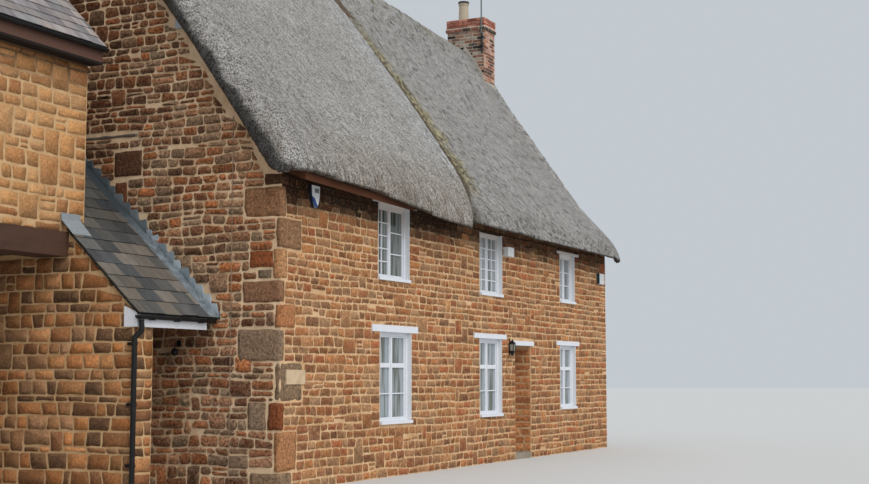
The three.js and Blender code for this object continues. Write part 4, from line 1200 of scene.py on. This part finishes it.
def straw_tint(at, normal, newer):
    """The shade of one spot of the thatch: its layers, and the painted shade of the underside over them."""
    patch = noise.noise(at * 3.1) + 0.5 * noise.noise(at * 9.0)
    layers = (newer_layers if newer else older_layers)(at, at.x - seam_x(at.y), patch)
    tint = UNTINTED
    # Faces that look down get painted shade.
    for colour, share in layers + [(UNDERSIDE_SHADE, ease(-normal.z, 0.15, 0.5))]:
        tint = tint.lerp(Vector(colour), share)
    return tint


def refined(made, voxel):
    """The object's mesh, welded and made again from small cells."""
    made.modifiers.new("weld", "WELD").merge_threshold = WELD
    fine = made.modifiers.new("fine", "REMESH")
    fine.mode = "VOXEL"
    fine.voxel_size = voxel
    bpy.context.view_layer.update()
    mesh = bpy.data.meshes.new_from_object(made.evaluated_get(bpy.context.evaluated_depsgraph_get()))
    made.modifiers.clear()
    return mesh


def straw_skin(node, finish, voxel, seed, combed, newer):
    """A thatch's own form with an uneven surface. The newer one's eave hangs lower towards the seam."""
    made = add(node + "_straw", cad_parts[node].data.copy())
    mesh = made.data = refined(made, voxel)
    normals = [vertex.normal.copy() for vertex in mesh.vertices]
    tints = []
    for vertex, normal in zip(mesh.vertices, normals):
        at = vertex.co - HOUSE
        tints.append(straw_tint(at, normal, newer))
        broad = noise.noise(Vector((at.x * 1.6, at.y * 1.1, at.z * 1.1 + seed)))
        comb = noise.noise(Vector((at.x * 8, at.y * 3, at.z * 3 + seed)))
        lumps = noise.noise(at * 7.0 + Vector((0, 0, seed)))
        vertex.co = vertex.co + normal * (0.020 * broad + combed * comb + 0.008 * lumps)
        if newer:
            low_down = ease(at.z, 5.5, 4.75) * ease(up_slope(at.y), 0.30, 0.05)
            vertex.co.z -= EAVE_HANG * ease(at.x, 1.6, 4.9) * low_down
    tint_points(mesh, tints)
    mesh.shade_smooth()
    mesh.materials.clear()
    mesh.materials.append(finish)
    hand_over(made, [node])


# Sashes and glazing bars. Of a light: where each level bar stands, as a share of the way up, with its
# thickness, and how many upright bars there are. LIGHTS has each front window's two lights.
THIN, THICK = 0.02, 0.075
SMALL_PANES = ([(0.2, THIN), (0.4, THIN), (0.6, THIN), (0.8, THIN)], 1)
THREE_PANES = ([(0.333, THIN), (0.667, THIN)], 0)
VENT_ABOVE = ([(0.296, THIN), (0.65, THICK)], 0)
LIGHTS = [(VENT_ABOVE, VENT_ABOVE)] * 3 + [
    (SMALL_PANES, THREE_PANES), (SMALL_PANES, SMALL_PANES), (THREE_PANES, THREE_PANES)]
STILE, MULLION_HALF, UPRIGHT_BAR = 0.026, 0.022, 0.020
SASH_THICK, SASH_BEVEL = 0.030, 0.003
SASH_WHITE = (224, 226, 230)

# Darkest and lightest tone behind each front window's panes
GLASS = [((92, 94, 84), (152, 162, 168)), ((92, 94, 84), (152, 162, 168)), ((98, 102, 96), (156, 166, 172)),
         ((70, 74, 66), (120, 126, 122)), ((92, 96, 92), (148, 154, 156)), ((98, 102, 98), (156, 162, 166))]
BACK_GLASS = (90, 94, 90), (140, 146, 144)


def lights_of(low, high):
    """Where the left and the right light of a window lie along it."""
    middle = (low.x + high.x) / 2
    return [(low.x, middle - MULLION_HALF), (middle + MULLION_HALF, high.x)]


def glazing(pile, glass_node, panes, facing=1):
    """Sashes with their bars in each light of a window, just outside its glass."""
    low, high = room(glass_node)
    face = low.y if facing > 0 else high.y
    front, back = sorted((face - SASH_THICK * facing, face - HAIR * facing))

    def rail(x0, x1, z0, z1):
        block(pile, (x0, front, z0), (x1, back, z1), SASH_BEVEL, paint(*SASH_WHITE))

    for (x0, x1), (level_bars, uprights) in zip(lights_of(low, high), panes):
        inner0, inner1 = x0 + STILE, x1 - STILE
        z0, z1 = low.z + STILE, high.z - STILE
        rail(x0, inner0, low.z, high.z)
        rail(inner1, x1, low.z, high.z)
        heights = [(z0 + (z1 - z0) * share, thick / 2) for share, thick in level_bars]
        level_rails = [(low.z, z0), (z1, high.z)] + [(z - half, z + half) for z, half in heights]
        for foot, head in level_rails:
            rail(inner0 + HAIR, inner1 - HAIR, foot, head)
        feet = [z0] + [z + half for z, half in heights]
        heads = [z - half for z, half in heights] + [z1]
        for upright in range(uprights):
            x = inner0 + (inner1 - inner0) * (upright + 1) / (uprights + 1)
            for foot, head in zip(feet, heads):
                rail(x - UPRIGHT_BAR / 2, x + UPRIGHT_BAR / 2, foot + HAIR, head - HAIR)


def window_bars(finish):
    pile = Pile()
    for node, panes in zip(WINDOWS, LIGHTS):
        glazing(pile, pane_of(node), panes)
    for node in BACK_WINDOWS:
        glazing(pile, pane_of(node), (THREE_PANES, THREE_PANES), -1)
    pile.piece("window_bars", finish, "white_paint")


# The siren cover's outlines, in its half width and its height, each with its depths and colour
SHIELD = [(-1, 0.97), (-0.96, 1.0), (0.96, 1.0), (1, 0.97), (0.92, 0.55), (0.74, 0.26), (0.42, 0.06),
          (0.12, 0.0), (-0.12, 0.0), (-0.42, 0.06), (-0.74, 0.26), (-0.92, 0.55)]
SHIELD_SIDE = [(x - 0.10, z) for x, z in SHIELD]
SHIELD_FOOT = [(0.46, 0.08), (0.12, 0.005), (-0.12, 0.005), (-0.42, 0.06), (-0.74, 0.26), (-0.94, 0.5),
               (-0.3, 0.42), (0.1, 0.2)]
PANEL = [(-0.3, 0.68), (0.72, 0.68), (0.76, 0.88), (-0.3, 0.88)]
COVER = [(SHIELD, 0.0, -0.056, (222, 224, 228)), (SHIELD_FOOT, -0.05, -0.060, (20, 66, 128)),
         (SHIELD_SIDE, 0.0, -0.050, (30, 36, 50)), (PANEL, -0.05, -0.058, (112, 118, 124))]


def alarm(finish):
    """A shield-shaped siren cover, white above and plain blue at its foot, with a plain grey panel."""
    low, high = room("alarm_box_near")
    middle, half = (low.x + high.x) / 2, (high.x - low.x) / 2

    def place(x, y, z):
        return Vector((middle + half * x, y, low.z + (high.z - low.z) * z))

    pile = Pile()
    for outline, back, front, colour in COVER:
        prism(pile, outline[::-1], back, front, paint(*colour), place)
    pile.piece("alarm_cover", finish, "white_plastic", instead=["alarm_box_near"])


LANTERN_BLACK, LANTERN_GLASS = (16, 17, 19), (152, 154, 142)
FROM_WALL = 0.070


def lantern(finish):
    """A black lantern close to the wall: a pale glazed body between a peaked top and a black foot."""
    low, high = room("door_lantern")
    black, pale = paint(*LANTERN_BLACK), paint(*LANTERN_GLASS)
    x, y = (low.x + high.x) / 2, high.y - FROM_WALL
    foot, head = low.z + 0.095, high.z - 0.115
    pile = Pile()

    def ring(z, half, off_x=0.0, off_y=0.0):
        return [Vector((x + off_x + sx * half, y + off_y + sy * half, z)) for sx, sy in SQUARE]

    between(pile, ring(foot, 0.034), ring(head, 0.040), pale)
    for sx, sy in SQUARE:
        ends = [ring(z, 0.006, sx * out, sy * out) for z, out in ((foot, 0.036), (head, 0.043))]
        between(pile, *ends, black)
    for z0, half0, z1, half1 in (
            (low.z, 0.012, foot - 0.03, 0.040), (foot - 0.03, 0.044, foot, 0.044),
            (head, 0.052, head + 0.012, 0.052), (head + 0.012, 0.052, high.z - 0.045, 0.014),
            (high.z - 0.045, 0.010, high.z - 0.020, 0.006)):
        between(pile, ring(z0, half0), ring(z1, half1), black)
    block(pile, (x - 0.012, y, head + 0.03), (x + 0.012, high.y - 0.005, head + 0.045), 0.003, black)
    block(pile, (x - 0.022, high.y - 0.016, low.z + 0.01), (x + 0.022, high.y - HAIR, high.z - 0.002),
          0.004, black)
    pile.piece("lantern_body", finish, "black_metal", instead=["door_lantern"])


LEAD_DARK, LEAD_PALE, APRON = (96, 108, 116), (168, 180, 188), (146, 154, 160)
TOOTH_OUT = 0.034


def lead_steps(finish):
    """Teeth of the lead let into the gable's courses, and the sheet where the link meets the wing's front."""
    pile = Pile()
    rng = random.Random(97)
    dark, pale = Vector(paint(*LEAD_DARK)), Vector(paint(*LEAD_PALE))
    y = LINK_EAVE_Y + 0.04
    while y < LINK_RIDGE_Y - 0.1:
        step = rng.uniform(0.11, 0.165)
        foot, head = (link_top(end) + LEAD_UP - 0.02 for end in (y, y + step))
        head -= rng.uniform(-0.01, 0.02)
        lean = rng.uniform(-0.012, 0.012)
        outline = [(y - 0.02, foot - 0.08), (y - 0.008, foot + 0.03), (y + 0.012, head + lean),
                   (y + step, head - lean), (y + step, head - 0.09)]
        shade = dark.lerp(pale, rng.uniform(0.2, 1.0)) * (1 - 0.62 * ease(y, 1.9, 2.8))
        # Each tooth's upper points are lighter and its lower points darker: painted light and shade.
        tints = [tuple(shade * (1.25 if index in (1, 2, 3) else 0.7)) for index in range(5)] * 2
        prism(pile, outline, 0.0, -TOOTH_OUT - rng.uniform(0, 0.006), tints)
        y += step
    near, far = WING_FRONT_Y - 0.23, WING_FRONT_Y - 0.015
    low, high = link_top(near) + 0.030, link_top(far) + 0.034
    sheet = [(near, low), (far, high), (far, high + 0.10), (far - 0.008, high + 0.10),
             (far - 0.012, high + 0.012), (near, low + 0.008)]
    prism(pile, sheet[::-1], WING_RIGHT_X - 0.10, WING_SIDE_X - 0.075, paint(*APRON))
    pile.piece("lead_teeth", finish, "lead")


# Low and high corner, bevel and colour
SENSOR = (-0.07, 1.76, 6.87), (0, 1.90, 7.0), 0.006, (176, 182, 190)
CABLE = (-0.032, 0.834, 0.2), (-0.020, 0.844, 5.45), 0.002, (150, 128, 106)
MAST_FOOT, MAST_CLIPS, MAST_DARK = 9.42, (9.56, 9.78), (36, 36, 38)
GUTTER_CLIPS, CLIP_BLACK = (-1.62, -1.06, -0.50), (22, 22, 24)
LINING_WHITE = (224, 226, 228)


def small_things(finish):
    """The near gable's sensor and cable, the mast's and gutter's clips, and the reveals' white linings."""
    pile = Pile()
    for low, high, bevel, colour in (SENSOR, CABLE):
        block(pile, low, high, bevel, paint(*colour))
    low, high = room("aerial_mast")
    near, far = low.x + 0.02, low.x + 0.05
    dark = paint(*MAST_DARK)
    block(pile, (near, low.y, MAST_FOOT), (far, high.y, low.z), 0.004, dark)
    for z in MAST_CLIPS:
        block(pile, (near, low.y - 0.03, z), (stack()[0].x, high.y + 0.05, z + 0.04), 0.004, dark)
    low, high = room("porch_gutter")
    for x in GUTTER_CLIPS:
        block(pile, (x - 0.014, low.y - 0.004, low.z - 0.012), (x + 0.014, high.y, low.z + 0.02), 0.003,
              paint(*CLIP_BLACK))
    for node in WINDOWS:
        low, high = room(pane_of(node))
        for edge, sign in ((low.x - FRAME_EDGE, 1), (high.x + FRAME_EDGE, -1)):
            x0, x1 = sorted((edge + sign * HAIR, edge + sign * 0.007))
            block(pile, (x0, -0.012, low.z - 0.03), (x1, 0.105, high.z + FRAME_EDGE - 0.002), 0.001,
                  paint(*LINING_WHITE))
    pile.piece("reveals_and_fittings", finish, "white_paint")


def walls():
    front_mortar = mortar_finish("front_mortar", *FRONT_MORTAR, FRONT_STAIN_AND_SHADE, True)
    gable_mortar = mortar_finish("gable_mortar", *GABLE_MORTAR)
    wing_mortar = mortar_finish("wing_mortar", *WING_MORTAR, WING_EAVE_SHADE)
    dress(front_mortar, "front_wall_left", "front_wall_right", "front_wall_over_door", "back_wall")
    dress(gable_mortar, "near_gable_wall", "far_gable_wall")
    dress(wing_mortar, "wing_right_wall", "wing_left_wall", "wing_front_wall", "wing_back_wall")
    warm_stone = stone_finish("warm_stone", (206, 166, 118), 0.6)
    dark_stone = stone_finish("dark_stone", (196, 172, 142), 1.0)
    wing_stone = stone_finish("wing_stone_faces", (214, 176, 128), 0.35)
    front_stones(warm_stone)
    gable_stones(dark_stone)
    near_quoins(stone_finish("quoin_faces", (188, 170, 146), 0.7))
    back_stones(dark_stone)
    wing_stones(wing_stone)
    porch_stones(wing_stone)


def roofs():
    straw_skin("thatch_near", thatch_finish("near_thatch", 46, 0.064, 0.14, 0.6, 0.5), 0.055, 3, 0.002, True)
    straw_skin("thatch_far", thatch_finish("far_thatch", 52, 0.080, 0.85, 0.0, 0.8), 0.042, 8, 0.005, False)
    slate = slate_finish("slate_faces")
    dress(slate, "link_roof_front", "link_roof_back", "wing_roof_front", "wing_roof_back")
    roof_slates(slate)


def chimney():
    dress(mortar_finish("brick_mortar", *BRICK_MORTAR), "chimney_stack")
    chimney_bricks(brick_finish("brick_faces"))
    chimney_fillet(tinted_finish("cement_faces", 0.95, 0.1, 0.5))
    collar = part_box("chimney_pot")[1].z - 0.046
    dress(two_part_finish("clay_faces", "Z", collar, (184, 170, 150), (66, 60, 56), 0.85), "chimney_pot")


def windows():
    white = timber_paint("white_timber_paint")
    dress(white, *WINDOWS, *BACK_WINDOWS, "door_frame", "porch_fascia")
    window_bars(white)
    for name, tones in zip(map(pane_of, WINDOWS), GLASS):
        cloth = [end - STILE - CLOTH_WIDTH for start, end in lights_of(*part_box(name))]
        dress(glass_finish(name + "_faces", *tones, cloth), name)
    dress(glass_finish("back_glass_faces", *BACK_GLASS), *[pane_of(name) for name in BACK_WINDOWS])


def fittings():
    made_things = tinted_finish("made_things", 0.5, 0.4)
    alarm(made_things)
    lantern(made_things)
    small_things(made_things)
    dress(lead_finish("lead_faces"), "lead_flashing")
    lead_steps(tinted_finish("lead_teeth_faces", 0.6, 0.4, 0.6))


# Plain surfaces: colour, roughness, gloss, worn colour, size of the grain, its depth and its stretch, how
# metallic it is, and the nodes
EVEN = (1, 1, 1)
PLAIN = {
    "brown_timber": ((80, 56, 44), 0.7, 0.25, (54, 40, 32), 60, 0.002, (0.2, 1, 1), 0.0,
                     ("wing_front_beam", "wing_back_beam", "wing_floor", "first_floor")),
    "rust_timber": ((88, 55, 38), 0.9, 0.1, (52, 35, 26), 5, 0.003, (0.4, 1, 1), 0.0, ("eave_board",)),
    "black_metal": ((19, 19, 21), 0.5, 0.25, (36, 35, 34), 50, 0.001, EVEN, 0.0,
                    ("porch_gutter", "porch_downpipe", "porch_lamp", "wing_gutter")),
    "white_plastic": ((216, 218, 220), 0.42, 0.45, (190, 190, 186), 40, 0.0005, EVEN, 0.0, ("vent_box",)),
    "steel": ((92, 106, 106), 0.5, 0.4, (112, 112, 106), 60, 0.0005, EVEN, 0.3, ("aerial_mast",)),
    "plaque": ((206, 182, 150), 0.85, 0.2, (170, 146, 116), 60, 0.001, EVEN, 0.0, ("name_plaque",)),
    "door": ((70, 74, 70), 0.55, 0.35, (50, 52, 50), 60, 0.001, (1, 1, 0.15), 0.0, ("door_leaf",)),
    "flag": ((150, 140, 124), 0.85, 0.2, (112, 104, 92), 12, 0.004, EVEN, 0.0, ("ground_floor", "doorstep")),
}


def plain_parts():
    for name, (*look, nodes) in PLAIN.items():
        dress(plain_finish(name + "_faces", *look), *nodes)
    # The fascia's lowest strip is near black: painted shade under the gutter and eave.
    fascia_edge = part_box("wing_fascia")[0].z + 0.035
    dress(two_part_finish("fascia_faces", "Z", fascia_edge, (26, 18, 14), (98, 69, 57), 0.8), "wing_fascia")
    # The box's side face is dark teal: partly its own colour, partly painted shade.
    far_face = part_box("alarm_box_far")[0].x + HAIR
    far_alarm = two_part_finish("far_alarm_faces", "X", far_face, (34, 70, 80), (218, 220, 222), 0.45)
    dress(far_alarm, "alarm_box_far")


def main():
    make_camera()
    make_light()
    make_floor()
    walls()
    roofs()
    chimney()
    windows()
    fittings()
    plain_parts()


main()
